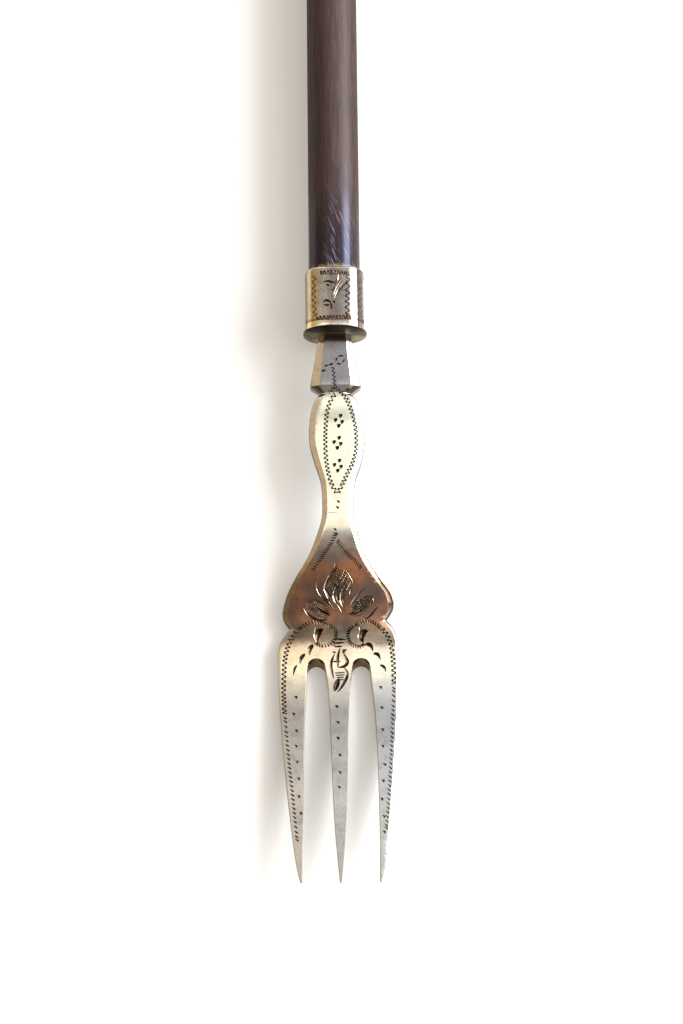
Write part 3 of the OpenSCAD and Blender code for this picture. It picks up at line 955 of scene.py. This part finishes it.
def make_plate(metal):
    """Front plate, rounded over from its flat face to the rim."""
    rings = [squared_ring(RIM_R, RIM_FLAT, plate_high.y)]
    for i in range(RIM_STEPS + 1):
        turn = math.pi / 2 * i / RIM_STEPS
        half = RIM_R - RIM_ROUND * (1 - math.cos(turn))
        rings.append(squared_ring(half, RIM_FLAT, plate_low.y + RIM_DEPTH * (1 - math.sin(turn))))
    plate = new_object("front_plate", loft(rings), metal)
    bore_out(plate, TANG_D / 2, metal)
    return finish(plate, "ferrule_plate")


def make_ring(metal):
    """Moulding that flares in a hollow curve from the tube to the plate."""
    rings = []
    for i in range(FLARE_STEPS + 1):
        turn = math.pi / 2 * i / FLARE_STEPS
        share = 1 - math.sin(turn)
        y = ring_low.y + (ring_high.y - ring_low.y) * (1 - math.cos(turn))
        rings.append(squared_ring(blend(TUBE_R, RIM_R, share), blend(TUBE_FLAT, RIM_FLAT, share), y))
    ring = new_object("flared_ring", loft(rings), metal)
    bore_out(ring, TUBE_BORE / 2, metal)
    return finish(ring, "ferrule_ring")


def make_tube(camera, metal, dirty, clean):
    """Tube with four soft flats, rounded over at the wood, and the same engraving on each side."""
    body = tube_high.y - MOUTH_ROUND
    rings = [
        squared_ring(TUBE_R, TUBE_FLAT, blend(tube_low.y, body, i / TUBE_RINGS)) for i in range(TUBE_RINGS)
    ]
    for i in range(MOUTH_STEPS + 1):
        turn = math.pi / 2 * i / MOUTH_STEPS
        half = TUBE_R - MOUTH_ROUND * (1 - math.cos(turn))
        rings.append(squared_ring(half, TUBE_FLAT, body + MOUTH_ROUND * math.sin(turn)))
    tube = new_object("engraved_tube", loft(rings), metal)
    surface = photo_surface(tube, camera)
    graver = Graver(surface, "dirty_cuts")
    for path, width, pitch in PANEL_BORDER:
        graver.wriggle(path, width, pitch, **PANEL_ZIGZAG)
    for path in PANEL_ROWS:
        graver.wriggle(path, **PANEL_ROW_ZIGZAG)
    for path, width in PANEL_MARKS:
        graver.stroke(path, width, **BLUNT)
    carve(tube, all_round(graver.tool(dirty)), crossing=True)
    graver = Graver(surface, "clean_cuts")
    for path, width in PANEL_STROKES:
        graver.stroke(path, width, start=0.4, end=0.15)
    carve(tube, all_round(graver.tool(clean)), crossing=True)
    bore_out(tube, TUBE_BORE / 2, metal)
    return finish(tube, "ferrule_tube")


def all_round(tool):
    """Repeats a tool on each of the four sides of the ferrule."""
    bm = bmesh.new()
    axis = Vector((0, 0, AXIS_Z))
    for quarter in range(4):
        kept = set(bm.verts)
        bm.from_mesh(tool.data)
        new = [vert for vert in bm.verts if vert not in kept]
        bmesh.ops.rotate(bm, verts=new, cent=axis, matrix=Matrix.Rotation(quarter * math.pi / 2, 3, "Y"))
    bm.to_mesh(tool.data)
    bm.free()
    return tool


def make_handle(wood):
    """Turned handle: a tenon inside the ferrule, a bore for the tang, and a grip with a rounded end."""
    profile = [
        (0.0, HANDLE_BORE_END), (HANDLE_BORE / 2, HANDLE_BORE_END), (HANDLE_BORE / 2, wood_low.y),
        (TENON_D / 2, wood_low.y), (TENON_D / 2, tube_high.y), (HANDLE_R, tube_high.y),
    ]
    straight = wood_high.y - DOME - tube_high.y
    profile += [(HANDLE_R, tube_high.y + straight * i / GRIP_STEPS) for i in range(1, GRIP_STEPS)]
    turns = [math.pi / 2 * i / DOME_STEPS for i in range(DOME_STEPS + 1)]
    profile += [(HANDLE_R * math.cos(turn), wood_high.y - DOME * (1 - math.sin(turn))) for turn in turns]
    bm = bmesh.new()
    line = [bm.verts.new((r, y, AXIS_Z)) for r, y in profile]
    for a, b in zip(line, line[1:]):
        bm.edges.new((a, b))
    bmesh.ops.spin(
        bm, geom=bm.verts[:] + bm.edges[:], cent=(0, 0, AXIS_Z), axis=(0, 1, 0), angle=2 * math.pi,
        steps=ROUND_STEPS, use_merge=True,
    )
    bmesh.ops.remove_doubles(bm, verts=bm.verts, dist=SHORTEST)
    bmesh.ops.recalc_face_normals(bm, faces=bm.faces)
    return finish(new_object("turned_handle", bm, wood), "handle")


# In millimetres: how far the clouds shift the silver's bands, the reach over which painted shade
# darkens the right lobe's side, and the distances from the plate between which the cuts turn paler
CLOUD_SHIFT = 5.0
LOBE_SIDE = 8
RUBBED = (58, 68)
# Length of the grip over which its wax wears dull, in millimetres, and the slant of its scratches
WAX_LEN = 40
SCRATCH_SLANT = math.radians(-22)

# Noises, each by the size of its spots
CLOUDS = {"Scale": 1 / (7 * MM), "Detail": 4.0, "Roughness": 0.6}
FLAMES = {"Scale": 1 / (4.5 * MM), "Detail": 3.0}
STAINS = {"Scale": 1 / (1.6 * MM), "Detail": 5.0, "Roughness": 0.65}
PITS = {"Scale": 1 / (0.35 * MM), "Detail": 3.0, "Roughness": 0.6}
HAIRS = {"Scale": 1 / (0.25 * MM), "Detail": 2.0}
WAVES = {"Scale": 1 / (6 * MM), "Detail": 1.0}
CUT_SPOTS = {"Scale": 1 / (0.8 * MM), "Detail": 2.0}
FERRULE_PATCHES = {"Scale": 1 / (3 * MM), "Detail": 5.0, "Roughness": 0.6}
PATCHES = {"Scale": 1 / (2.5 * MM), "Detail": 3.0}
WOOD_GRAIN = {"Scale": 1 / (0.3 * MM), "Detail": 5.0, "Roughness": 0.65}
RAGGED = {"Scale": 1 / (1.2 * MM), "Detail": 4.0}
SCRATCHES = {"Scale": 1 / (0.16 * MM), "Detail": 1.0}
CEMENT_GRAINS = {"Scale": 1 / (0.4 * MM), "Detail": 3.0}


def colour(value):
    """A colour from an sRGB hex value, or from linear numbers: three, or one for a grey."""
    if isinstance(value, float):
        return (value, value, value, 1)
    if isinstance(value, tuple):
        return (*value, 1)
    channels = [int(value[i:i + 2], 16) / 255 for i in (1, 3, 5)]
    return (*[c / 12.92 if c <= 0.04045 else ((c + 0.055) / 1.055) ** 2.4 for c in channels], 1)


def add(tree, kind, settings=None, **links):
    """Adds a node, sets its values and links its inputs."""
    node = tree.nodes.new(kind)
    for name, value in (settings or {}).items():
        if isinstance(name, int) or name in node.inputs:
            node.inputs[name].default_value = value
        else:
            setattr(node, name, value)
    for name, source in links.items():
        key = int(name[1:]) if name[0] == "i" and name[1:].isdigit() else name.replace("_", " ")
        tree.links.new(source, node.inputs[key])
    return node


def new_material(name):
    """A material, its node tree and its shader."""
    material = bpy.data.materials.new(name)
    material.use_nodes = True
    tree = material.node_tree
    return material, tree, tree.nodes["Principled BSDF"]


def ramp(tree, source, stops):
    """The source's value turned into a colour by stops of place and colour."""
    node = add(tree, "ShaderNodeValToRGB", Fac=source)
    elements = node.color_ramp.elements
    while len(elements) < len(stops):
        elements.new(0.5)
    for element, (place, value) in zip(elements, stops):
        element.position = place
        element.color = colour(value)
    return node.outputs["Color"]


def multiply(tree, first, second):
    """Two colours multiplied."""
    mixed = add(
        tree, "ShaderNodeMix", {"data_type": "RGBA", "blend_type": "MULTIPLY", "Factor": 1.0},
        i6=first, i7=second,
    )
    return mixed.outputs[2]


def position_share(tree, axis, low, high):
    """Share of the way from low to high, in millimetres, along one axis of the part."""
    share = add(tree, "ShaderNodeMapRange", {"From Min": low * MM, "From Max": high * MM}, Value=axis)
    return share.outputs["Result"]


def worn_silver():
    """Silver plate worn and tarnished on a nickel-silver forging: rubbed bright on the stem and the
    crotch, brown with orange clouds on the shield, with fine hairlines. Painted light: warmer at the
    left and brighter and bluer at the right; painted shade on upright sides, and painted highlight
    and shade along the bevels."""
    material, tree, shader = new_material("worn_silver_plate")
    place = add(tree, "ShaderNodeTexCoord").outputs["Object"]
    axes = add(tree, "ShaderNodeSeparateXYZ", Vector=place)
    clouds = add(tree, "ShaderNodeTexNoise", CLOUDS, Vector=place)
    shifted = add(
        tree, "ShaderNodeMath", {"operation": "MULTIPLY_ADD", 1: CLOUD_SHIFT * MM},
        i0=clouds.outputs["Fac"], i2=axes.outputs["Y"],
    )
    along = position_share(tree, shifted.outputs[0], TIP_Y + CLOUD_SHIFT / 2, FACE_Y + CLOUD_SHIFT / 2)

    def at(s):
        return 1 - s / TIP_S
    base = ramp(tree, along, [
        (at(91), "#afacab"), (at(76), "#d5d2d3"), (at(63), "#b3b0b3"), (at(58.5), "#ccc6c2"),
        (at(56), "#fcf4e2"), (at(52.9), "#e4cfbe"), (at(52.1), "#978779"), (at(51.3), "#80766c"),
        (at(50), "#8f887e"), (at(48.4), "#c29882"), (at(46.2), "#9c7a6a"), (at(43), "#9a8072"),
        (at(40.3), "#d89a74"), (at(37.8), "#ada39b"), (at(35.7), "#ead4c6"), (at(34.2), "#f8f4e8"),
        (at(11), "#fbf7ea"), (at(9.9), "#bcb8b8"), (at(3), "#c0bcbc"), (at(0.8), "#98887c"),
    ])
    sideways = position_share(tree, axes.outputs["X"], -head_high.x, head_high.x)
    # Painted light: warmer towards the left side, brighter and bluer towards the right
    across = ramp(tree, sideways, [
        (0.0, (0.95, 0.88, 0.79)), (0.2, (0.99, 0.95, 0.88)), (0.55, (0.96, 0.97, 0.96)),
        (0.7, (1.1, 1.13, 1.17)), (1.0, (0.98, 1.03, 1.11)),
    ])
    small = add(tree, "ShaderNodeTexNoise", STAINS, Vector=place)
    stains = ramp(tree, small.outputs["Fac"], [(0.32, (0.86, 0.8, 0.74)), (0.5, 1.0)])
    pits = add(tree, "ShaderNodeTexNoise", PITS, Vector=place)
    pitted = ramp(tree, pits.outputs["Fac"], [(0.36, (0.94, 0.935, 0.93)), (0.6, 1.03)])
    stains = multiply(tree, stains, pitted)
    # Colour by which way a face looks: painted shade on upright sides. Along the head the bevels get a
    # painted highlight by the crotch, and are darker on the shield, partly tarnish and partly painted shade
    normal = add(tree, "ShaderNodeTexCoord").outputs["Normal"]
    upward = add(tree, "ShaderNodeSeparateXYZ", Vector=normal).outputs["Z"]
    flat = ramp(tree, upward, [(0.86, 0.0), (0.95, 1.0)])
    facing_shade = ramp(tree, upward, [(0.66, (0.09, 0.07, 0.05)), (0.75, (0.84, 0.78, 0.66))])
    bevels = ramp(tree, along, [
        (at(64), 1.0), (at(58), (2.2, 1.9, 1.5)), (at(54.5), (2.2, 1.9, 1.5)), (at(52), (0.7, 0.66, 0.6)),
        (at(47), (0.3, 0.25, 0.19)), (at(42.5), (0.32, 0.27, 0.2)), (at(39), (0.75, 0.68, 0.58)),
        (at(35), (0.8, 0.78, 0.74)), (at(30), 1.0),
    ])
    # Painted shade on the right lobe's side
    outwards = position_share(tree, axes.outputs["X"], 0, LOBE_SIDE)
    right = ramp(tree, outwards, [(0.5, 1.0), (0.9, (0.16, 0.13, 0.11))])
    lobe = ramp(tree, along, [(at(47.5), 0.0), (at(46), 1.0), (at(41.5), 1.0), (at(39.5), 0.0)])
    shaded = add(tree, "ShaderNodeMix", {"data_type": "RGBA", 6: (1, 1, 1, 1)}, i0=lobe, i7=right)
    bevels = multiply(tree, bevels, shaded.outputs[2])
    broad = add(tree, "ShaderNodeTexNoise", FLAMES, Vector=place)
    flames = ramp(tree, broad.outputs["Fac"], [
        (0.38, (0.82, 0.84, 0.86)), (0.5, (1.0, 0.98, 0.96)), (0.62, (1.5, 1.2, 1.05)),
    ])
    # Painted light: the clouds brighter towards the right side
    flames = multiply(tree, flames, ramp(tree, sideways, [(0.55, 1.0), (0.72, (1.2, 1.22, 1.22))]))
    shield = ramp(tree, along, [(at(52), 0.0), (at(50), 1.0), (at(37), 1.0), (at(35), 0.0)])
    warmed = add(tree, "ShaderNodeMix", {"data_type": "RGBA", 6: (1, 1, 1, 1)}, i0=shield, i7=flames)
    base = multiply(tree, base, warmed.outputs[2])
    faced = add(
        tree, "ShaderNodeMix", {"data_type": "RGBA"},
        i0=flat, i6=multiply(tree, facing_shade, bevels), i7=multiply(tree, base, across),
    )
    tree.links.new(multiply(tree, faced.outputs[2], stains), shader.inputs["Base Color"])
    shader.inputs["Metallic"].default_value = 1.0
    rough = ramp(tree, small.outputs["Fac"], [(0.3, 0.12), (0.7, 0.2)])
    tree.links.new(rough, shader.inputs["Roughness"])
    stretched = add(
        tree, "ShaderNodeMapping", {"Scale": (1.0, 0.06, 1.0), "Rotation": (0, 0, 0.25)}, Vector=place,
    )
    hairs = add(tree, "ShaderNodeTexNoise", HAIRS, Vector=stretched.outputs[0])
    waves = add(tree, "ShaderNodeTexNoise", WAVES, Vector=place)
    fine = add(tree, "ShaderNodeBump", {"Strength": 0.15, "Distance": 0.02 * MM}, Height=hairs.outputs["Fac"])
    soft = add(
        tree, "ShaderNodeBump", {"Strength": 0.5, "Distance": 0.12 * MM}, Height=waves.outputs["Fac"],
        Normal=fine.outputs[0],
    )
    tree.links.new(soft.outputs[0], shader.inputs["Normal"])
    return material


def cut_metal(name, dark, light, roughness, shaded):
    """Walls of the graver's cuts: metal that polishing cloths don't reach, so it stays dark. Each
    wall is also painted lighter or darker by the way it faces: painted light and shade."""
    material, tree, shader = new_material(name)
    coordinates = add(tree, "ShaderNodeTexCoord")
    place = coordinates.outputs["Object"]
    spots = add(tree, "ShaderNodeTexNoise", CUT_SPOTS, Vector=place)
    base = ramp(tree, spots.outputs["Fac"], [(0.35, dark), (0.65, light)])
    # Painted light and shade: each wall of a cut that faces right and towards the tines is painted light, the
    # others dark
    facing = add(tree, "ShaderNodeSeparateXYZ", Vector=coordinates.outputs["Normal"])
    slanting = add(
        tree, "ShaderNodeMath", {"operation": "MULTIPLY_ADD", 1: -0.8},
        i0=facing.outputs["Y"], i2=facing.outputs["X"],
    )
    side = add(tree, "ShaderNodeMapRange", {"From Min": 0.22, "From Max": 0.55}, Value=slanting.outputs[0])
    wall_shade = ramp(tree, side.outputs["Result"], [(0.1, shaded), (1.0, 1.0)])
    axes = add(tree, "ShaderNodeSeparateXYZ", Vector=place)
    along = position_share(tree, axes.outputs["Y"], FACE_Y - RUBBED[1], FACE_Y - RUBBED[0])
    rubbed = ramp(tree, along, [(0.0, (1.5, 1.55, 1.65)), (1.0, 1.0)])
    tree.links.new(multiply(tree, multiply(tree, base, wall_shade), rubbed), shader.inputs["Base Color"])
    shader.inputs["Metallic"].default_value = 1.0
    shader.inputs["Roughness"].default_value = roughness
    return material


def ferrule_metal():
    """The same plate on the ferrule, with painted reflection bands across it: dark then yellow at its
    left, pinkish grey on its front, a painted highlight on the corner at its right and a dark band
    beside it. The flared ring gets a painted highlight, with a brown line where it meets the tube."""
    material, tree, shader = new_material("worn_silver_ferrule")
    place = add(tree, "ShaderNodeTexCoord").outputs["Object"]
    axes = add(tree, "ShaderNodeSeparateXYZ", Vector=place)
    # Painted reflection: bands of light and shade across the ferrule by sideways place, with a painted
    # highlight on the right corner
    base = ramp(tree, position_share(tree, axes.outputs["X"], -RIM_R, RIM_R), [
        (0.03, "#787058"), (0.09, "#bfae86"), (0.22, "#d6c8a6"), (0.34, "#d2c8ba"), (0.45, "#a99c96"),
        (0.56, "#b2a8a6"), (0.64, "#c4bcb8"), (0.735, "#d2cac4"), (0.77, "#eee6e0"), (0.835, "#f0e6d6"),
        (0.855, "#3c3028"), (0.89, "#746c68"), (1.0, "#b2bac4"),
    ])
    # Painted highlight on the flared ring; the brown line is the joint with the tube
    edge = ramp(tree, position_share(tree, axes.outputs["Y"], plate_low.y, tube_high.y), [
        (0.12, (1.45, 1.45, 1.38)), (0.13, (0.5, 0.4, 0.26)), (0.15, (0.55, 0.46, 0.3)),
        (0.18, (0.98, 0.95, 0.9)), (0.9, (1.0, 0.99, 0.97)), (0.97, (0.95, 0.95, 0.93)),
    ])
    patches = add(tree, "ShaderNodeTexNoise", FERRULE_PATCHES, Vector=place)
    shade = ramp(tree, patches.outputs["Fac"], [(0.3, (0.7, 0.66, 0.62)), (0.6, 1.0)])
    pits = add(tree, "ShaderNodeTexNoise", PITS, Vector=place)
    shade = multiply(tree, shade, ramp(tree, pits.outputs["Fac"], [(0.36, (0.8, 0.78, 0.76)), (0.6, 1.08)]))
    tree.links.new(multiply(tree, multiply(tree, base, edge), shade), shader.inputs["Base Color"])
    shader.inputs["Metallic"].default_value = 1.0
    shader.inputs["Roughness"].default_value = 0.18
    bump = add(tree, "ShaderNodeBump", {"Strength": 0.3, "Distance": 0.1 * MM}, Height=patches.outputs["Fac"])
    tree.links.new(bump.outputs[0], shader.inputs["Normal"])
    return material


def plate_metal():
    """Front of the plate: darker towards the top, painted shade above the neck, and tan below it,
    with a painted highlight along the rim.
    """
    material, tree, shader = new_material("dull_silver_plate")
    place = add(tree, "ShaderNodeTexCoord").outputs["Object"]
    axes = add(tree, "ShaderNodeSeparateXYZ", Vector=place)
    patches = add(tree, "ShaderNodeTexNoise", PATCHES, Vector=place)
    height = add(
        tree, "ShaderNodeMath", {"operation": "MULTIPLY_ADD", 1: 1.2 * MM},
        i0=patches.outputs["Fac"], i2=axes.outputs["Z"],
    )
    # Painted shade: the face darker towards the top, above the neck
    base = ramp(tree, position_share(tree, height.outputs[0], 0.6, 2 * RIM_R + 0.6), [
        (0.0, "#8f8874"), (0.45, "#8a816b"), (0.66, "#746a5b"), (0.78, "#38322c"), (1.0, "#2b2825"),
    ])
    # Painted highlight along the rim
    rim = ramp(tree, position_share(tree, axes.outputs["Y"], plate_low.y, plate_high.y), [
        (0.8, 1.0), (0.93, (6.0, 5.4, 4.4)),
    ])
    stains = ramp(tree, patches.outputs["Fac"], [
        (0.38, (0.6, 0.62, 0.64)), (0.5, 1.0), (0.6, (1.5, 1.45, 1.3)),
    ])
    tree.links.new(multiply(tree, multiply(tree, base, stains), rim), shader.inputs["Base Color"])
    shader.inputs["Metallic"].default_value = 1.0
    shader.inputs["Roughness"].default_value = 0.62
    return material


def dark_wood():
    """Ebonised hardwood, turned and waxed: plum-black with long fine grain. The wax has worn dull on
    the grip, and is still glossy beside the ferrule, where it shows pale slanting scratches. Painted
    reflection: near the ferrule the wood is darker and bluer and its reflections are tinted blue,
    pinker further up; painted sheen: its specular level is highest along the middle, low at the sides."""
    material, tree, shader = new_material("waxed_dark_wood")
    place = add(tree, "ShaderNodeTexCoord").outputs["Object"]
    stretched = add(tree, "ShaderNodeMapping", {"Scale": (1.0, 0.05, 1.0)}, Vector=place)
    grain = add(tree, "ShaderNodeTexNoise", WOOD_GRAIN, Vector=stretched.outputs[0])
    base = ramp(tree, grain.outputs["Fac"], [(0.28, "#21160f"), (0.5, "#35241f"), (0.72, "#4d3830")])
    axes = add(tree, "ShaderNodeSeparateXYZ", Vector=place)
    along = position_share(tree, axes.outputs["Y"], tube_high.y, tube_high.y + WAX_LEN)
    # Painted reflection: the wood darker and bluer near the ferrule
    base = multiply(tree, base, ramp(tree, along, [(0.05, (0.6, 0.68, 0.85)), (0.38, 1.0)]))
    ragged = add(tree, "ShaderNodeTexNoise", RAGGED, Vector=place)
    mouth = add(
        tree, "ShaderNodeMath", {"operation": "MULTIPLY_ADD", 1: -2 * MM},
        i0=ragged.outputs["Fac"], i2=axes.outputs["Y"],
    )
    bloom = add(
        tree, "ShaderNodeMapRange", {
            "From Min": (tube_high.y - 0.8) * MM, "From Max": (tube_high.y - 0.2) * MM,
            "To Min": 0.6, "To Max": 0.0,
        }, Value=mouth.outputs[0],
    ).outputs["Result"]
    turned = add(tree, "ShaderNodeMapping", {"Rotation": (0, 0, SCRATCH_SLANT)}, Vector=place)
    drawn = add(tree, "ShaderNodeMapping", {"Scale": (1.0, 0.04, 0.04)}, Vector=turned.outputs[0])
    marks = add(tree, "ShaderNodeTexNoise", SCRATCHES, Vector=drawn.outputs[0])
    thin = ramp(tree, marks.outputs["Fac"], [(0.63, 0.0), (0.68, 0.7)])
    near = ramp(tree, along, [(0.18, 1.0), (0.36, 0.12), (0.6, 0.05)])
    across = position_share(tree, axes.outputs["X"], -HANDLE_R, HANDLE_R)
    near = multiply(tree, near, ramp(tree, across, [(0.28, 0.1), (0.4, 1.0), (0.7, 1.0), (0.8, 0.2)]))
    scratched = add(
        tree, "ShaderNodeMix", {"data_type": "RGBA", 7: colour("#a39aa6")},
        i0=multiply(tree, thin, near), i6=base,
    )
    mixed = add(
        tree, "ShaderNodeMix", {"data_type": "RGBA", 7: colour("#a08c64")},
        i0=bloom, i6=scratched.outputs[2],
    )
    tree.links.new(mixed.outputs[2], shader.inputs["Base Color"])
    blotches = add(tree, "ShaderNodeTexNoise", PATCHES, Vector=stretched.outputs[0])
    edge_of_wax = add(
        tree, "ShaderNodeMath", {"operation": "MULTIPLY_ADD", 1: 0.12}, i0=blotches.outputs["Fac"], i2=along,
    )
    worn = ramp(tree, edge_of_wax.outputs[0], [
        (0.12, 0.19), (0.3, 0.25), (0.42, 0.46), (1.0, 0.52),
    ])
    tree.links.new(worn, shader.inputs["Roughness"])
    shader.inputs["IOR"].default_value = 1.6
    # Painted sheen: specular level highest along the middle of the grip, low at its sides
    painted_sheen = ramp(tree, across, [
        (0.0, 0.05), (0.25, 0.28), (0.5, 0.58), (0.62, 0.34), (0.85, 0.22),
        (1.0, 0.05),
    ])
    tree.links.new(painted_sheen, shader.inputs["Specular IOR Level"])
    # Painted reflection: reflections tinted blue near the ferrule, pink further up
    tint = ramp(tree, along, [(0.1, (0.5, 0.56, 0.86)), (0.5, (0.88, 0.78, 0.78))])
    tree.links.new(tint, shader.inputs["Specular Tint"])
    bump = add(tree, "ShaderNodeBump", {"Strength": 0.2, "Distance": 0.03 * MM}, Height=grain.outputs["Fac"])
    tree.links.new(bump.outputs[0], shader.inputs["Normal"])
    return material


def cement_material():
    """Cutler's cement: resin and brick dust, dark and matt, with coarse grains."""
    material, tree, shader = new_material("cutlers_cement")
    place = add(tree, "ShaderNodeTexCoord").outputs["Object"]
    grains = add(tree, "ShaderNodeTexNoise", CEMENT_GRAINS, Vector=place)
    base = ramp(tree, grains.outputs["Fac"], [(0.35, "#2e2216"), (0.7, "#56422c")])
    tree.links.new(base, shader.inputs["Base Color"])
    shader.inputs["Roughness"].default_value = 0.85
    return material


def make_camera():
    """Camera of the photograph."""
    data = bpy.data.cameras.new("photo_camera")
    data.lens, data.sensor_width, data.sensor_fit = LENS, SENSOR, "AUTO"
    data.clip_start, data.clip_end = 0.01, 20
    camera = bpy.data.objects.new("photo_camera", data)
    bpy.context.scene.collection.objects.link(camera)
    camera.matrix_world = (
        Matrix.Translation(Vector(CAMERA_PLACE) * MM)
        @ Matrix.Rotation(math.radians(CAMERA_TILT), 4, "X")
        @ Matrix.Rotation(math.radians(CAMERA_ROLL), 4, "Z")
    )
    bpy.context.scene.camera = camera
    bpy.context.view_layer.update()
    return camera


# Half the floor's side in metres, its glow, and the distances over which it fades to white
FLOOR_HALF = 2.0
FLOOR_GLOW = 0.19
FADE_FROM = 0.2
FADE_TO = 0.8
# Brightness of the room, and the light of its walls
ROOM_LIGHT = 1.35
LEFT_WALL = (0.44, 0.35, 0.25, 1)
RIGHT_WALL = (1.5, 1.5, 1.55, 1)


def make_floor():
    """White card. What the camera and the metal see of it is lifted to white; its shadows stay.
    Far from the fork it fades to the white of the background."""
    bm = bmesh.new()
    bmesh.ops.create_grid(bm, x_segments=1, y_segments=1, size=FLOOR_HALF)
    material, tree, shader = new_material("white_card")
    shader.inputs["Base Color"].default_value = colour("#e9e6e1")
    shader.inputs["Roughness"].default_value = 0.9
    shader.inputs["Specular IOR Level"].default_value = 0.1
    path = add(tree, "ShaderNodeLightPath")
    seen = add(
        tree, "ShaderNodeMath", {"operation": "MAXIMUM"},
        i0=path.outputs["Is Camera Ray"], i1=path.outputs["Is Glossy Ray"],
    )
    near = add(tree, "ShaderNodeMath", {"operation": "MULTIPLY", 1: FLOOR_GLOW}, i0=seen.outputs[0])
    place = add(tree, "ShaderNodeTexCoord").outputs["Object"]
    reach = add(tree, "ShaderNodeVectorMath", {"operation": "LENGTH"}, i0=place)
    fade = {"From Min": FADE_FROM, "From Max": FADE_TO}
    far = add(tree, "ShaderNodeMapRange", fade, Value=reach.outputs["Value"])
    strength = add(
        tree, "ShaderNodeMath", {"operation": "MULTIPLY_ADD"},
        i0=far.outputs["Result"], i1=path.outputs["Is Camera Ray"], i2=near.outputs[0],
    )
    glow = add(tree, "ShaderNodeEmission", {"Color": (1, 0.995, 0.985, 1)}, Strength=strength.outputs[0])
    both = add(tree, "ShaderNodeAddShader", i0=shader.outputs[0], i1=glow.outputs[0])
    tree.links.new(both.outputs[0], tree.nodes["Material Output"].inputs["Surface"])
    floor = new_object("floor", bm, material)


def make_world():
    """Pale room: a cream band that the stem mirrors, dim behind the camera, with a tan wall at the left
    and a white one at the right."""
    world = bpy.data.worlds.new("room")
    bpy.context.scene.world = world
    world.use_nodes = True
    tree = world.node_tree
    tree.nodes.clear()
    direction = add(tree, "ShaderNodeTexCoord").outputs["Generated"]
    axes = add(tree, "ShaderNodeSeparateXYZ", Vector=direction)
    tilt = add(tree, "ShaderNodeMath", {"operation": "ARCTAN2"}, i0=axes.outputs["Y"], i1=axes.outputs["Z"])
    half_turn = {"From Min": -math.pi / 2, "From Max": math.pi / 2}
    share = add(tree, "ShaderNodeMapRange", half_turn, Value=tilt.outputs[0])

    def at(degrees):
        return 0.5 + degrees / 180
    room = ramp(tree, share.outputs["Result"], [
        (at(-85), (0.12, 0.1, 0.085)), (at(-55), (0.16, 0.135, 0.12)), (at(-38), (0.24, 0.22, 0.2)),
        (at(-8), (0.28, 0.265, 0.25)), (at(-2), (0.42, 0.37, 0.33)), (at(3), (0.95, 0.93, 0.8)),
        (at(5), (1.0, 0.99, 0.87)), (at(12.4), (1.0, 0.99, 0.87)), (at(15), (0.42, 0.42, 0.43)),
        (at(35), (0.44, 0.45, 0.48)), (at(50), (0.9, 0.86, 0.74)), (at(85), (1.1, 1.04, 0.9)),
    ])

    def wall(before, light, across, along):
        """Lays a wall's light over the room, for directions far enough along X and Y."""
        shares = [
            add(tree, "ShaderNodeMapRange", {"From Min": low, "From Max": high}, Value=axes.outputs[axis])
            for axis, (low, high) in (("X", across), ("Y", along))
        ]
        both = add(
            tree, "ShaderNodeMath", {"operation": "MULTIPLY"},
            i0=shares[0].outputs[0], i1=shares[1].outputs[0],
        )
        mix = {"data_type": "RGBA", 7: light}
        return add(tree, "ShaderNodeMix", mix, i0=both.outputs[0], i6=before).outputs[2]
    sided = wall(room, LEFT_WALL, (-0.35, -0.8), (-0.7, -0.5))
    sided = wall(sided, RIGHT_WALL, (0.35, 0.6), (-0.75, -0.55))
    path = add(tree, "ShaderNodeLightPath")
    seen = add(
        tree, "ShaderNodeMix", {"data_type": "RGBA", 7: (1, 1, 1, 1)},
        i0=path.outputs["Is Camera Ray"], i6=sided,
    )
    back = add(tree, "ShaderNodeBackground", {"Strength": ROOM_LIGHT}, Color=seen.outputs[2])
    out = add(tree, "ShaderNodeOutputWorld")
    tree.links.new(back.outputs[0], out.inputs["Surface"])


WINDOW_PLACE = (0.6, 0.19, 0.34)
WINDOW_SIZE = (0.5, 0.34)
WINDOW_POWER = 9.2
WINDOW_COLOUR = (0.9, 0.95, 1.0)


def make_window():
    """Large soft window at the right."""
    data = bpy.data.lights.new("window", "AREA")
    data.shape, data.size, data.size_y = "RECTANGLE", *WINDOW_SIZE
    data.energy = WINDOW_POWER
    data.color = WINDOW_COLOUR
    lamp = bpy.data.objects.new("window", data)
    bpy.context.scene.collection.objects.link(lamp)
    lamp.location = WINDOW_PLACE
    aim = Vector((0, 0, 0)) - Vector(WINDOW_PLACE)
    lamp.rotation_euler = aim.to_track_quat("-Z", "Y").to_euler()


bpy.context.scene.view_settings.view_transform = "Standard"
camera = make_camera()
make_floor()
make_world()
make_window()

silver = worn_silver()
# Graver's cuts: tarnish kept in the hollows, with painted light and shade by the way each wall faces
cut_dark = cut_metal("tarnished_cut", "#1e1712", "#4e4033", 0.3, (0.8, 0.75, 0.7))
cut_bright = cut_metal("bright_cut", "#8c7e66", "#b8ab90", 0.2, (0.16, 0.11, 0.07))
make_head(camera, silver, cut_dark, cut_bright)
make_plate(plate_metal())
ferrule = ferrule_metal()
make_ring(ferrule)
make_tube(camera, ferrule, cut_dark, cut_bright)
make_handle(dark_wood())
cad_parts["cement"].data.materials.clear()
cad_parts["cement"].data.materials.append(cement_material())
